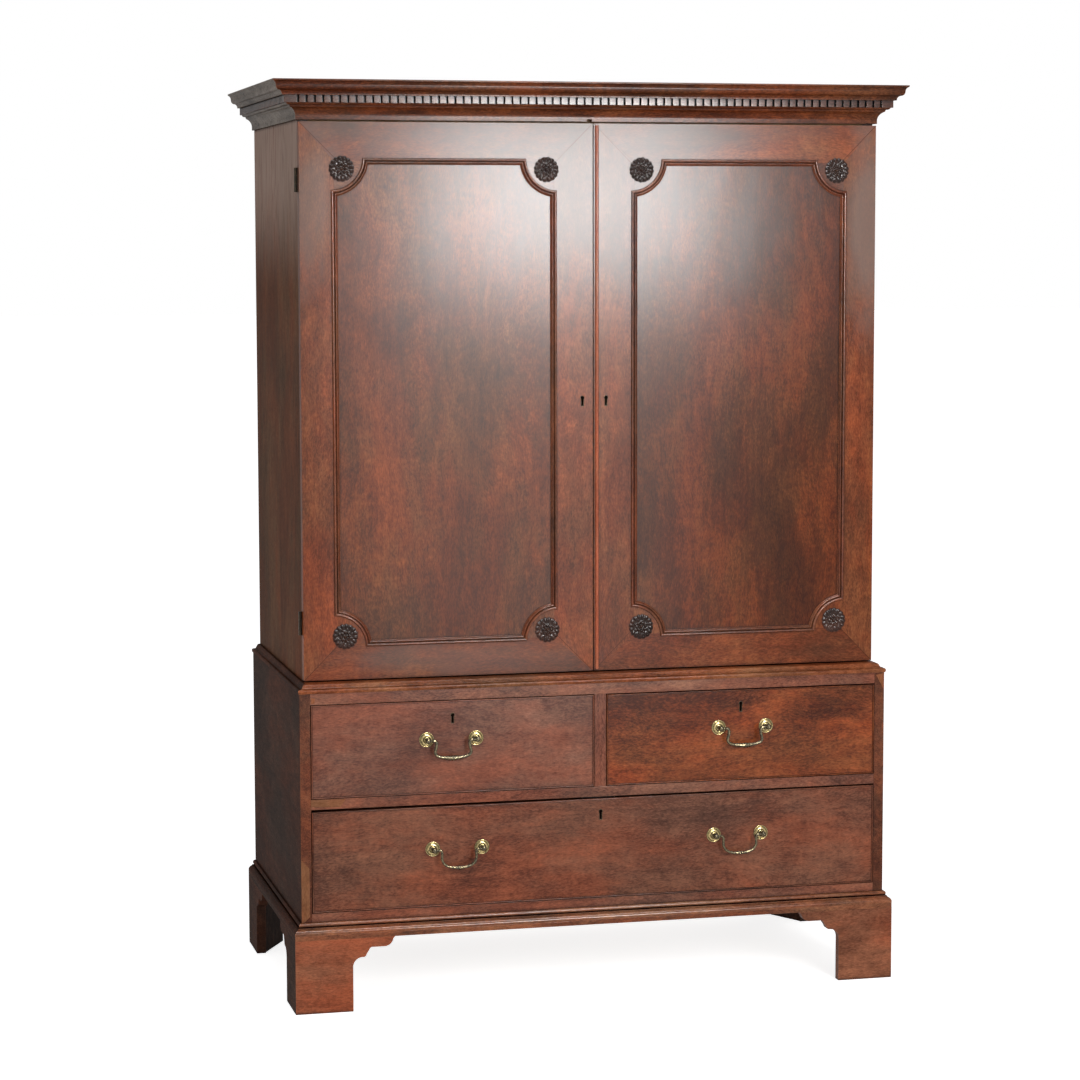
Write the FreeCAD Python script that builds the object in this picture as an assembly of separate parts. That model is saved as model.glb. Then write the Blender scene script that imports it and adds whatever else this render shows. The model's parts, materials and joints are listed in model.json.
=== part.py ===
import FreeCAD, Part

# Linen press: a cupboard of sliding trays behind two panelled doors, standing on a chest of three drawers.
#
# Millimetres. X runs to the right, the front faces -Y and Z is up, with the floor at z = 0. While the
# pieces are made, y = 0 is the plane of the back boards and a place at depth d from the back has y = -d.
# save() then moves every piece by the same amount, so that the origin lies under the middle of the whole.

import math
import os

V = FreeCAD.Vector

# ---- the two cases -----------------------------------------------------------------------------------
upper_width = 1228.0            # over the sides of the cupboard
upper_depth = 591.0             # back boards to the front edges of the sides
upper_case_height = 1167.5
side_step = 16.0                # the chest stands out this far at each side of the cupboard
front_step = 60.0               # and this far ahead of its case, which brings it out past the doors
lower_case_height = 497.5
board = 22.0                    # sides and front rails
shelf_board = 20.0              # tops and bottoms of the cases
back_board = 12.0
back_rebate = 10.0              # width of the rebate in each side for the back boards
back_board_count = 5
back_board_gap = 0.5
seat_gap = 0.3                  # between pieces that are only set one in the other

# ---- base --------------------------------------------------------------------------------------------
foot_height = 153.0
foot_width = 119.5              # at the floor
foot_reach = 208.0              # at the top of the bracket
bracket_board = 20.0
front_block = 45.0              # glue blocks behind the front brackets
rear_block_length = 102.0       # of the three-cornered blocks behind the rear brackets
rear_foot_width = 75.0          # plain boards at the back, at the floor
plinth_strip = 10.0             # thickness of the frame the feet are fixed to
plinth_strip_width = 90.0
plinth_lip = 16.0               # the plinth stands this far outside the chest
hollow_drop = 62.0              # heights in a bracket's outline, down from its top: the hollow starts
step_drop = 40.0                # the hollow ends in a step
round_drop = 34.5               # the step's round ends
rise_drop = 25.0                # the slope over it ends
flat_drop = 20.0                # straight underside
tip_drop = 4.0                  # lower edge of the tip
hollow_width = 18.5             # and widths, from the foot inward
step_width = 3.5
round_width = 6.0
slope_width = 6.0
cove_width = 8.0
tip_round = 20.0
tip_width = 4.0
hollow_bow = 6.0                # how far each curve bows from a straight line
round_bow = 1.6
cove_bow = 1.8
tip_bow = 5.0

# ---- drawers -----------------------------------------------------------------------------------------
bottom_rail = 43.0
long_drawer_opening = 215.0
middle_rail = 21.5
top_rail = 23.0
divider = 25.0
divider_offset = 3.0            # the divider stands this far to the right of the middle
drawer_gap = 1.0                # round a drawer front
running_gap = 0.3               # under a drawer or tray
drawer_front = 22.0
drawer_board = 11.0
drawer_bottom = 8.0
drawer_back_drop = 12.0         # the back is lower than the sides
drawer_back_space = 45.0        # behind a closed drawer
drawer_side_drop = 8.0          # sides are lower than the front
bead_width = 3.0                # cock bead round a drawer front
bead_rebate = 6.0
bead_proud = 1.8
runner_width = 20.0
runner_height = 18.0

# ---- doors -------------------------------------------------------------------------------------------
door_thickness = 22.0
door_back_gap = 0.5             # between a closed door and the case
door_head_gap = 4.1             # under the cornice
door_foot_gap = 2.5             # over the ledge
left_meeting_edge = 3.0         # from the middle of the cupboard to the left door
right_meeting_edge = 1.0        # and to the right door; both edges lie left of the middle
panel_inner_line = 86.0         # from the middle to the inner edges of the meeting stiles
outer_stile = 71.0
door_top_rail = 78.9
door_bottom_rail = 73.7
panel_thickness = 8.0
panel_sunk = 3.0                # below the face of the door frame
panel_tongue = 8.0
tongue_gap = 0.5
moulding_overlap = 6.5          # of the panel moulding on to the frame
moulding_width = 13.5
moulding_proud = 2.9            # round nearest the frame, over the frame's face
moulding_rise = 2.3             # width of the slope on to it
moulding_quirk = 6.4            # groove beside the round: its place across and its height
moulding_quirk_height = 0.5
moulding_ridge = 9.4            # second ridge, from which the moulding falls to the panel
moulding_ridge_height = 2.0
moulding_edge = 1.8             # thickness left beside the panel
corner_radius = 64.5            # of the panel moulding's hollow corners
bend_sides = 6                  # short straight lengths in each bend of the moulding
spandrel_sides = 6              # chords of each corner piece's edge, which the moulding covers
rosette_radius = 26.0
rosette_inset = 22.0            # rosette centre from the two outer lines of the moulding
rosette_petals = 8
rosette_valley = 0.84           # radius between two petals, as a share of the rosette's
rosette_thickness = 2.6
rosette_boss = 9.5
rosette_proud = 6.0
meeting_bead_width = 8.0
meeting_bead_inset = 2.5
meeting_bead_end_gap = 3.0
meeting_bead_proud = 4.0

# ---- hinges ------------------------------------------------------------------------------------------
hinge_length = 49.0
hinge_leaf_width = 19.0
hinge_leaf = 1.6
knuckle_radius = 3.2
knuckle_offset = 3.6            # pin axis outside the case side
knuckle_count = 3
knuckle_gap = 0.3
hinge_pin_radius = 1.3
pin_gap = 0.05                  # running clearance on hinge pins and bail pivots
rod_sides = 8                   # of bail pivots, and of the bores that pins and pivots turn in
hinge_end_distance = 92.0       # from each end of a door to the nearer end of a hinge

# ---- trays -------------------------------------------------------------------------------------------
tray_count = 4
tray_setback = 46.0             # from the front edge of the case
tray_back_space = 8.0
tray_side_gap = 1.5
tray_height = 110.0
tray_front_height = 82.0
tray_scoop = 34.0               # how far the hollow in a tray's front dips
tray_board = 12.0
tray_bottom = 8.0

# ---- cornice: heights from the bottom up, and how far each face stands out ---------------------------
cornice_lap = 6.5               # it hangs this far below the top of the cupboard
bed_height = 33.0
dentil_height = 15.0
crown_height = 30.5
frieze_lead = 9.5               # the cornice's front plane stands ahead of the case
bed_fillet = 5.0
bed_fillet_height = 7.5
bed_cove_lead = 13.0            # the bed moulding's cove ends this far out from its fillet
bed_cove_drop = 8.0             # and this far below its top
bed_step = 4.0                  # height of the step and of the round over the cove
bed_round = 6.5                 # width of the round
bed_cove_bow = 3.4
bed_round_bow = 1.5
dentil_face = 31.5
dentil_depth = 8.0
dentil_gap = 5.1
dentil_corner = 25.55
dentil_gap_count = 74           # along the front
crown_face = 57.5
crown_reach = 20.5              # the crown grows out by this much: a cove, a round, a step and a hollow
crown_fillet = 1.5              # plain edges between them
crown_cove_lead = 6.0           # how far out and up the cove ends
crown_cove_rise = 9.0
crown_round_lead = 13.5         # and the round
crown_round_rise = 15.0
crown_lip = 3.0                 # upright edge at the very top
crown_cove_bow = 1.6
crown_round_bow = 1.8
crown_hollow_bow = 1.9
notch_width = 10.4              # small notch in the cornice's lower edge, over the doors' meeting edges
notch_height = 5.0
notch_depth = 12.0
notch_shift = -7.8              # its middle, from the middle of the cupboard
dust_board = 6.0
dust_board_drop = 2.0

# ---- mouldings of the chest --------------------------------------------------------------------------
waist_height = 19.0
waist_nose = 2.7                # stands out from the chest
waist_nose_top = 9.0            # heights above the chest where the nose and the cove over it end
waist_cove_top = 10.5
waist_step_top = 13.0
waist_cove = -0.5               # and how far out they end
waist_step = -6.5
base_moulding_height = 24.5
base_bead = 10.0                # half-round bead at its top

# ---- handles -----------------------------------------------------------------------------------------
long_handle_line = 303.0        # from the middle of the long drawer to each of its handles
left_handle_shift = -6.0        # from the middle of the left drawer to its handle
right_handle_shift = 1.5
short_handle_rise = 16.5        # handles sit this far above the middle of their drawer's front
long_handle_rise = 14.0
post_spacing = 104.0
rose_radius = 15.5
post_radius = 4.2
post_head_radius = 6.6
post_standoff = 19.0            # pivot axis ahead of the drawer front
post_nose = 6.2                 # rounded end of the post ahead of the pivot axis
rose_sides = 10
post_sides = 8
bail_sides = 6
shank_size = 5.0                # square shanks keep the posts from turning
nut_size = 10.0
nut_thickness = 3.0
pivot_radius = 2.0
pivot_engagement = 4.6
bail_radius = 2.5
bail_arm_line = 38.0            # from the handle's middle to the top of an arm
bail_drop = 37.0
bail_swell = 4.8

# ---- locks -------------------------------------------------------------------------------------------
keyhole_radius = 3.4
keyhole_height = 20.0
keyhole_slot = 3.8
keyhole_points = 7              # corners of the eye
keyhole_liner = 1.1
keyhole_liner_depth = 5.0
keyhole_drop = 27.0             # from a drawer front's top edge to the top of its keyhole
left_keyhole_shift = -3.0       # from the middle of the left drawer to its keyhole
right_keyhole_shift = -2.0
long_keyhole_shift = 4.0
lock_width = 62.0
lock_height = 54.0
lock_depth = 12.0
lock_plate = 2.0
lock_plate_overhang = 6.0
bolt_width = 24.0
bolt_thickness = 5.0
bolt_throw = 8.0
bolt_gap = 0.3
mortise_gap = 1.0
door_lock_width = 46.0
door_lock_height = 64.0
door_keyhole_line = 25.3        # from the middle of the cupboard
door_keyhole_height = 1247.0    # above the floor

# ---- flush bolts on the left door --------------------------------------------------------------------
slide_bolt_line = 45.0          # from the middle of the cupboard
slide_bolt_length = 120.0
slide_bolt_size = 6.0
slide_bolt_standoff = 6.0       # behind the door's back face
slide_bolt_throw = 12.0
slide_bolt_knob = 3.5
slide_plate_width = 20.0
slide_plate = 2.0
keeper_height = 10.0

# ---- heights and planes that follow ------------------------------------------------------------------
lower_width = upper_width + 2 * side_step
lower_depth = upper_depth + front_step
case_bottom = foot_height + plinth_strip
lower_top = case_bottom + lower_case_height
upper_top = lower_top + upper_case_height
cornice_bottom = upper_top - cornice_lap
dentil_bottom = cornice_bottom + bed_height
crown_bottom = dentil_bottom + dentil_height
overall_height = crown_bottom + crown_height
frieze_plane = upper_depth + frieze_lead
waist_top = lower_top + waist_height
half_lower = lower_width / 2
half_upper = upper_width / 2
inner_lower = half_lower - board
inner_upper = half_upper - board
upper_floor = lower_top + shelf_board
upper_ceiling = upper_top - shelf_board
bead_face = lower_depth + bead_proud
pivot_depth = lower_depth + post_standoff
overall_depth = max(lower_depth + plinth_lip, pivot_depth + post_nose, frieze_plane + crown_face)
door_back = upper_depth + door_back_gap
door_face = door_back + door_thickness
door_bottom = waist_top + door_foot_gap
door_top = cornice_bottom - door_head_gap
panel_face = door_face - panel_sunk
panel_outer_line = half_upper - outer_stile
panel_bottom_line = door_bottom + door_bottom_rail
panel_top_line = door_top - door_top_rail
rail_back = lower_depth - board
long_bottom = case_bottom + bottom_rail
long_top = long_bottom + long_drawer_opening
short_bottom = long_top + middle_rail
short_top = lower_top - top_rail
divider_left = divider_offset - divider / 2
divider_right = divider_offset + divider / 2
left_middle = (divider_left - inner_lower) / 2
right_middle = (divider_right + inner_lower) / 2


# ---- helpers -----------------------------------------------------------------------------------------
def block(x0, x1, d0, d1, z0, z1):
    """Box between two widths, two depths from the back and two heights."""
    return Part.makeBox(x1 - x0, d1 - d0, z1 - z0, V(x0, -d1, z0))


def fused(first, *others):
    """One solid from pieces that touch or overlap, without the seams between them."""
    return first.fuse(list(others)).removeSplitter()


def mirrored(shape):
    """The same shape on the other side of the middle."""
    return shape.mirror(V(0, 0, 0), V(1, 0, 0))


def both_sides(shape):
    return [shape, mirrored(shape)]


def in_plan(z):
    """Flat (x, depth) points at one height."""
    return lambda x, d: V(x, -d, z)


def in_elevation(d):
    """Flat (x, z) points at one depth."""
    return lambda x, z: V(x, -d, z)


def in_section(x):
    """Flat (depth, z) points at one width."""
    return lambda d, z: V(x, -d, z)


def face(start, steps, place):
    """Closed face from a start point; a step (u, v) is straight, and (u, v, bow) is an arc.

    bow is how far the arc's middle lies to the left of the straight line to (u, v).
    """
    edges = []
    here = start
    for step in list(steps) + [start]:
        there = step[:2]
        if math.dist(here, there) < 1e-9:
            continue
        if len(step) == 3:
            run, rise = there[0] - here[0], there[1] - here[1]
            shift = step[2] / math.hypot(run, rise)
            middle = ((here[0] + there[0]) / 2 - rise * shift, (here[1] + there[1]) / 2 + run * shift)
            edges.append(Part.Arc(place(*here), place(*middle), place(*there)).toShape())
        else:
            edges.append(Part.makeLine(place(*here), place(*there)))
        here = there
    return Part.Face(Part.Wire(edges))


def prism(start, steps, place, along):
    """Solid with the outline that face() describes, extruded along a vector."""
    return face(start, steps, place).extrude(along)


def polygon(points, place, along):
    return prism(points[0], points[1:], place, along)


def faceted(outline, sides, x, z, depth):
    """Turned shape with flat sides; the outline is (radius, height above depth) from base to tip."""
    turn = 2 * math.pi / sides
    rings = [[V(x + radius * math.cos(k * turn), -(depth + rise), z + radius * math.sin(k * turn))
              for k in range(sides + 1)] for radius, rise in outline]
    faces = [Part.Face(Part.makePolygon(ring)) for ring in (rings[0], rings[-1])]
    for low, high in zip(rings, rings[1:]):
        for k in range(sides):
            faces.append(Part.Face(Part.makePolygon([low[k], low[k + 1], high[k + 1], high[k], low[k]])))
    return Part.Solid(Part.Shell(faces))


def rod(radius, start, along):
    """Eight-sided rod with its corners at the radius."""
    aside = V(along.y, along.z, along.x).cross(along).normalize()
    upward = along.cross(aside).normalize()
    turn = 2 * math.pi / rod_sides
    corners = [start + aside * (radius * math.cos(k * turn)) + upward * (radius * math.sin(k * turn))
               for k in range(rod_sides)]
    return Part.Face(Part.makePolygon(corners + corners[:1])).extrude(along)


def bore(radius, start, along):
    """Eight-sided bore with its flats at the radius, for a pin to turn in."""
    return rod(radius / math.cos(math.pi / rod_sides), start, along)


def cut_all(shape, cutters):
    for cutter in cutters:
        shape = shape.cut(cutter)
    return shape


def mitred_set(start, steps, half_width, front, inward, outward):
    """One moulding round both sides and the front: [front, right, left], mitred at the front corners.

    The outline's u runs outward from the planes x = half_width and depth = front, and lies between
    -inward and outward.
    """
    bottom = min(point[1] for point in [start] + list(steps)) - 1
    tall = V(0, 0, max(point[1] for point in [start] + list(steps)) - bottom + 1)
    edge, far = half_width + outward, front + outward
    near, inner = half_width - inward, front - inward
    side = prism(start, steps, lambda u, z: V(half_width + u, 0, z), V(0, -far, 0))
    side = side.common(polygon([(near, 0), (near, inner), (edge, far), (edge, 0)], in_plan(bottom), tall))
    length = prism(start, steps, lambda u, z: V(-edge, -(front + u), z), V(2 * edge, 0, 0))
    wedge = [(-near, inner), (-edge, far), (edge, far), (near, inner)]
    return [length.common(polygon(wedge, in_plan(bottom), tall))] + both_sides(side)


def keyhole(x, top, d0, d1, grow=0.0):
    """Keyhole-shaped bar from depth d0 to d1: an eye over a slot, all grown outward by grow."""
    half = keyhole_slot / 2 + grow
    radius = keyhole_radius + grow
    centre = top - keyhole_radius
    lowest = math.asin(half / radius)
    turn = (2 * math.pi - 2 * lowest) / (keyhole_points - 1)
    eye = [(x + radius * math.sin(lowest + k * turn), centre - radius * math.cos(lowest + k * turn))
           for k in range(keyhole_points)]
    foot = top - keyhole_height - grow
    return polygon(eye + [(x - half, foot), (x + half, foot)], in_elevation(d0), V(0, d0 - d1, 0))


nodes = {}


def node(name, *solids):
    nodes[name] = list(solids)


# ---- cases -------------------------------------------------------------------------------------------
def case_side(half_width, depth, bottom, top):
    """Right-hand side of a case, rebated at the back for the back boards."""
    side = block(half_width - board, half_width, 0, depth, bottom, top)
    return side.cut(block(half_width - board, half_width - board + back_rebate, 0, back_board, bottom, top))


def back_boards(half_width, bottom, top):
    """Upright boards side by side between the rebates."""
    edge = half_width - board + back_rebate
    pitch = (2 * edge + back_board_gap) / back_board_count
    boards = []
    for index in range(back_board_count):
        left = -edge + index * pitch
        boards.append(block(left, left + pitch - back_board_gap, 0, back_board, bottom, top))
    return boards


def build_upper_case():
    side = case_side(half_upper, upper_depth, lower_top, upper_top)
    side = cut_all(side, case_leaf_plates(half_upper))
    node("upper_sides", *both_sides(side))
    top_board = block(-inner_upper, inner_upper, back_board, upper_depth, upper_ceiling, upper_top)
    bottom_board = block(-inner_upper, inner_upper, back_board, upper_depth, lower_top, upper_floor)
    node("upper_top_board", top_board.cut(slide_bolt_mortise(upper_ceiling, 1)))
    node("upper_bottom_board", bottom_board.cut(slide_bolt_mortise(upper_floor, -1)))
    node("upper_back_boards", *back_boards(half_upper, lower_top, upper_top))


def build_lower_case():
    node("lower_sides", *both_sides(case_side(half_lower, lower_depth, case_bottom, lower_top)))
    node("lower_top_board", block(-inner_lower, inner_lower, back_board, rail_back,
                                  lower_top - shelf_board, lower_top))
    node("lower_bottom_board", block(-inner_lower, inner_lower, back_board, rail_back,
                                     case_bottom, case_bottom + shelf_board))
    node("lower_back_boards", *back_boards(half_lower, case_bottom, lower_top))
    top = block(-inner_lower, inner_lower, rail_back, lower_depth, short_top, lower_top)
    middle = block(-inner_lower, inner_lower, rail_back, lower_depth, long_top, short_bottom)
    bottom = block(-inner_lower, inner_lower, rail_back, lower_depth, case_bottom, long_bottom)
    upright = block(divider_left, divider_right, rail_back, lower_depth, short_bottom, short_top)
    top = cut_all(top, [drawer_bolt_mortise(left_middle + left_keyhole_shift, short_top),
                        drawer_bolt_mortise(right_middle + right_keyhole_shift, short_top)])
    node("lower_rails", top, middle.cut(drawer_bolt_mortise(long_keyhole_shift, long_top)), bottom, upright)


def build_runners():
    """Side runners for every drawer, and the wide runner with its guide between the short drawers."""
    runners = []
    for height in (long_bottom, short_bottom):
        runners += both_sides(block(inner_lower - runner_width, inner_lower, back_board, rail_back,
                                    height - runner_height, height))
    wide = block(divider_left - runner_width, divider_right + runner_width, back_board, rail_back,
                 short_bottom - runner_height, short_bottom)
    guide = block(divider_left, divider_right, back_board, rail_back,
                  short_bottom, short_bottom + runner_width)
    node("drawer_runners", *runners, wide, guide)


# ---- base --------------------------------------------------------------------------------------------
def bracket_outline():
    """Bracket from its outer corner inward: foot, hollow, step, round, slope, cove, underside and tip."""
    top = foot_height
    hollow_end = foot_width + hollow_width
    step_end = hollow_end + step_width
    round_end = step_end + round_width
    slope_end = round_end + slope_width
    tip_start = foot_reach - tip_width
    return (0, 0), [
        (foot_width, 0),
        (foot_width, top - hollow_drop),
        (hollow_end, top - step_drop, hollow_bow),
        (step_end, top - step_drop),
        (round_end, top - round_drop, -round_bow),
        (slope_end, top - rise_drop),
        (slope_end + cove_width, top - flat_drop, cove_bow),
        (tip_start - tip_round, top - flat_drop),
        (tip_start, top - tip_drop, -tip_bow),
        (foot_reach, top),
        (0, top),
    ]


def foot_brackets(x_edge, d_edge, toward_back):
    """Brackets of one right-hand foot: the side one, or front and side mitred at (x_edge, d_edge)."""
    start, steps = bracket_outline()
    thick = bracket_board
    sign = -1 if toward_back else 1
    side = prism(start, steps, lambda w, z: V(x_edge - thick, -(d_edge + sign * w), z), V(thick, 0, 0))
    if not toward_back:
        return [side]
    front = prism(start, steps, lambda w, z: V(x_edge - w, -d_edge, z), V(0, thick, 0))
    corner, inner, far = (x_edge, d_edge), (x_edge - thick, d_edge - thick), foot_reach
    tall = V(0, 0, foot_height)
    front_plan = [corner, inner, (x_edge - far, d_edge - thick), (x_edge - far, d_edge)]
    side_plan = [corner, inner, (x_edge - thick, d_edge - far), (x_edge, d_edge - far)]
    return [front.common(polygon(front_plan, in_plan(0), tall)),
            side.common(polygon(side_plan, in_plan(0), tall))]


def build_base():
    edge, front = half_lower + plinth_lip, lower_depth + plinth_lip
    strip = plinth_strip_width
    section = [(0, foot_height), (-strip, foot_height), (-strip, case_bottom), (0, case_bottom)]
    rails = mitred_set(section[0], section[1:], edge, front, strip, 0)
    back = block(-(edge - strip), edge - strip, 0, strip, foot_height, case_bottom)
    node("plinth_frame", *rails, back)

    inside = edge - bracket_board
    corner = block(inside - front_block, inside, front - bracket_board - front_block, front - bracket_board,
                   0, foot_height)
    front_foot = foot_brackets(edge, front, True) + [corner]
    node("front_feet", *front_foot, *[mirrored(piece) for piece in front_foot])

    tall = V(0, 0, foot_height)
    rear = block(edge - rear_foot_width, inside, 0, back_board, 0, foot_height)
    slope = polygon([(edge - rear_foot_width, foot_height / 2), (edge - rear_foot_width, foot_height),
                     (edge - foot_reach, foot_height)], in_elevation(0), V(0, -back_board, 0))
    rear_block = polygon([(inside, back_board), (inside, back_board + rear_block_length),
                          (edge - rear_foot_width, back_board)], in_plan(0), tall)
    rear_foot = foot_brackets(edge, 0, False) + [fused(rear, slope), rear_block]
    node("back_feet", *rear_foot, *[mirrored(piece) for piece in rear_foot])


# ---- mouldings of the chest --------------------------------------------------------------------------
def build_chest_mouldings():
    z = lower_top
    inner = -(side_step - seat_gap)
    start, steps = (inner, z), [
        (waist_nose / 3, z),
        (waist_nose, z + waist_nose),
        (waist_nose, z + 2 * waist_nose),
        (waist_cove, z + waist_nose_top, -1.0),
        (waist_step, z + waist_cove_top, 0.8),
        (waist_step - 1, z + waist_step_top),
        (waist_step - 2, z + waist_step_top + 1.3),
        (inner + 1.3, waist_top, -1.3),
        (inner, waist_top),
    ]
    pieces = mitred_set(start, steps, half_lower, lower_depth, -inner, waist_nose)
    front_ledge = block(-(half_upper + seat_gap), half_upper + seat_gap, upper_depth + seat_gap,
                        lower_depth + inner, z, waist_top)
    pieces[0] = fused(pieces[0], front_ledge)
    node("waist_moulding", *pieces)

    z = case_bottom
    bead = base_bead
    quirk = z + base_moulding_height - bead
    start, steps = (0, z), [
        (plinth_lip, z),
        (plinth_lip / 2, quirk - 2, -3.0),
        (plinth_lip / 2, quirk),
        (1, quirk),
        (1, quirk + bead, -bead / 2),
        (0, quirk + bead),
    ]
    node("base_moulding", *mitred_set(start, steps, half_lower, lower_depth, 0, plinth_lip))


# ---- cornice -----------------------------------------------------------------------------------------
def dentil_outline(length, first_gap, pitch, gaps, ground, tip):
    """Comb outline in plan, from (0, ground) to (length, ground): teeth reach out to tip."""
    points = [(0, tip)]
    for index in range(gaps):
        left = first_gap + index * pitch - dentil_gap / 2
        right = left + dentil_gap
        if right >= length:
            break
        points += [(left, tip), (left, ground), (right, ground), (right, tip)]
    return points + [(length, tip)]


def build_dentils():
    """Three strips with teeth cut in them, at one pitch all round, meeting in mitres at wider corner teeth."""
    edge, front = half_upper + dentil_face, frieze_plane + dentil_face
    ground = dentil_face - dentil_depth
    first = dentil_corner + dentil_gap / 2
    pitch = 2 * (edge - first) / (dentil_gap_count - 1)
    tall = V(0, 0, dentil_height)
    comb = dentil_outline(2 * edge, first, pitch, dentil_gap_count, ground, dentil_face)
    corner = (half_upper, frieze_plane)
    points = [(x - edge, frieze_plane + u) for x, u in comb]
    strip = polygon(points + [corner, (-corner[0], corner[1])], in_plan(dentil_bottom), tall)
    comb = dentil_outline(front, first, pitch, dentil_gap_count, ground, dentil_face)
    points = [(half_upper + u, front - run) for run, u in comb]
    side = polygon(points + [(half_upper, 0), corner], in_plan(dentil_bottom), tall)
    node("cornice_dentils", strip, *both_sides(side))


def build_cornice():
    z, top = cornice_bottom, dentil_bottom
    cove_end = bed_fillet + bed_cove_lead
    bed = (seat_gap, z), [
        (bed_fillet, z),
        (bed_fillet, z + bed_fillet_height),
        (cove_end, top - bed_cove_drop, bed_cove_bow),
        (cove_end + 1, top - bed_step - 0.5),
        (cove_end + 2.5, top - bed_step),
        (cove_end + 2.5 + bed_round, top, -bed_round_bow),
        (seat_gap, top),
    ]
    z, top = crown_bottom, overall_height
    foot = crown_face - crown_reach
    crown = (0, z), [
        (foot, z),
        (foot, z + crown_fillet),
        (foot + crown_cove_lead, z + crown_cove_rise, crown_cove_bow),
        (foot + crown_round_lead, z + crown_round_rise, -crown_round_bow),
        (foot + crown_round_lead + 0.5, z + crown_round_rise + 2 * crown_fillet),
        (crown_face, top - crown_lip, crown_hollow_bow),
        (crown_face, top),
        (0, top),
    ]
    mouldings = []
    for start, steps in (bed, crown):
        mouldings += mitred_set(start, steps, half_upper, frieze_plane, 0, crown_face)
    notch = block(notch_shift - notch_width / 2, notch_shift + notch_width / 2,
                  frieze_plane + bed_fillet - notch_depth, frieze_plane + 2 * bed_fillet,
                  cornice_bottom - seat_gap, cornice_bottom + notch_height)
    mouldings[0] = mouldings[0].cut(notch)
    node("cornice_mouldings", *mouldings)
    build_dentils()

    rail_top = overall_height - dust_board - dust_board_drop
    front = polygon([(frieze_plane, cornice_bottom), (frieze_plane, rail_top),
                     (upper_depth - board, rail_top), (upper_depth - board, upper_top),
                     (upper_depth + seat_gap, upper_top), (upper_depth + seat_gap, cornice_bottom)],
                    in_section(-half_upper), V(upper_width, 0, 0))
    side = block(inner_upper, half_upper, 0, upper_depth - board, upper_top, rail_top)
    back = block(-inner_upper, inner_upper, 0, board, upper_top, rail_top)
    dust = block(-half_upper, half_upper, 0, frieze_plane, rail_top, rail_top + dust_board)
    node("cornice_frame", front.cut(notch), *both_sides(side), back, dust)


# ---- hinges ------------------------------------------------------------------------------------------
def hinge_bottoms():
    return [door_bottom + hinge_end_distance, door_top - hinge_end_distance - hinge_length]


def knuckles(bottom, first):
    """Heights of every second knuckle of one hinge, beginning with the first or the second."""
    pitch = (hinge_length + knuckle_gap) / knuckle_count
    return [(bottom + index * pitch, bottom + (index + 1) * pitch - knuckle_gap)
            for index in range(first, knuckle_count, 2)]


def knuckle(axis, low, high):
    """Eight-sided barrel about a hinge pin."""
    turn = math.pi / 4
    return polygon([(axis + knuckle_radius * math.cos((k + 0.5) * turn),
                     upper_depth + knuckle_radius * math.sin((k + 0.5) * turn)) for k in range(8)],
                   in_plan(low), V(0, 0, high - low))


def case_leaf_plates(edge):
    """The leaves let into the front edge of the right-hand case side."""
    return [block(edge - hinge_leaf_width, edge, upper_depth - hinge_leaf, upper_depth,
                  bottom, bottom + hinge_length) for bottom in hinge_bottoms()]


def door_leaf_plates(edge):
    """The leaves let into the back of the right-hand door."""
    return [block(edge - hinge_leaf_width, edge, door_back, door_back + hinge_leaf,
                  bottom, bottom + hinge_length) for bottom in hinge_bottoms()]


def build_hinges():
    """Butt hinges with the pins fixed in the case leaves, turning in the door leaves."""
    axis = half_upper + knuckle_offset
    case_leaves, door_leaves = [], []
    for bottom, plate in zip(hinge_bottoms(), case_leaf_plates(half_upper)):
        pieces = [Part.makeCylinder(hinge_pin_radius, hinge_length, V(axis, -upper_depth, bottom))]
        for low, high in knuckles(bottom, 0):
            pieces.append(knuckle(axis, low, high))
            pieces.append(block(half_upper, axis, upper_depth - hinge_leaf, upper_depth, low, high))
        case_leaves.append(fused(plate, *pieces))
    for bottom, plate in zip(hinge_bottoms(), door_leaf_plates(half_upper)):
        pieces = []
        for low, high in knuckles(bottom, 1):
            pieces.append(knuckle(axis, low, high))
            pieces.append(block(half_upper, axis, door_back, door_back + hinge_leaf, low, high))
        pin_hole = bore(hinge_pin_radius + pin_gap, V(axis, -upper_depth, bottom), V(0, 0, hinge_length))
        door_leaves.append(fused(plate, *pieces).cut(pin_hole))
    node("case_hinge_leaves", *case_leaves, *[mirrored(leaf) for leaf in case_leaves])
    node("right_door_hinge_leaves", *door_leaves)
    node("left_door_hinge_leaves", *[mirrored(leaf) for leaf in door_leaves])


# ---- doors -------------------------------------------------------------------------------------------
def door_frame(meeting_edge):
    """Right-hand door frame: rails and stiles mitred to one another, grooved for the panel."""
    corners = [(meeting_edge, door_bottom), (meeting_edge, door_top), (half_upper, door_top),
               (half_upper, door_bottom)]
    inner = [(panel_inner_line, panel_bottom_line), (panel_inner_line, panel_top_line),
             (panel_outer_line, panel_top_line), (panel_outer_line, panel_bottom_line)]
    tongue = panel_tongue
    groove = block(panel_inner_line - tongue, panel_outer_line + tongue, panel_face - panel_thickness,
                   panel_face, panel_bottom_line - tongue, panel_top_line + tongue)
    members = []
    for index in range(4):
        after = (index + 1) % 4
        member = polygon([corners[index], corners[after], inner[after], inner[index]],
                         in_elevation(door_back), V(0, -door_thickness, 0))
        members.append(cut_all(member, [groove] + door_leaf_plates(half_upper)))
    return members


def door_panel():
    reach = panel_tongue - tongue_gap
    return block(panel_inner_line - reach, panel_outer_line + reach, panel_face - panel_thickness,
                 panel_face, panel_bottom_line - reach, panel_top_line + reach)


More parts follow.
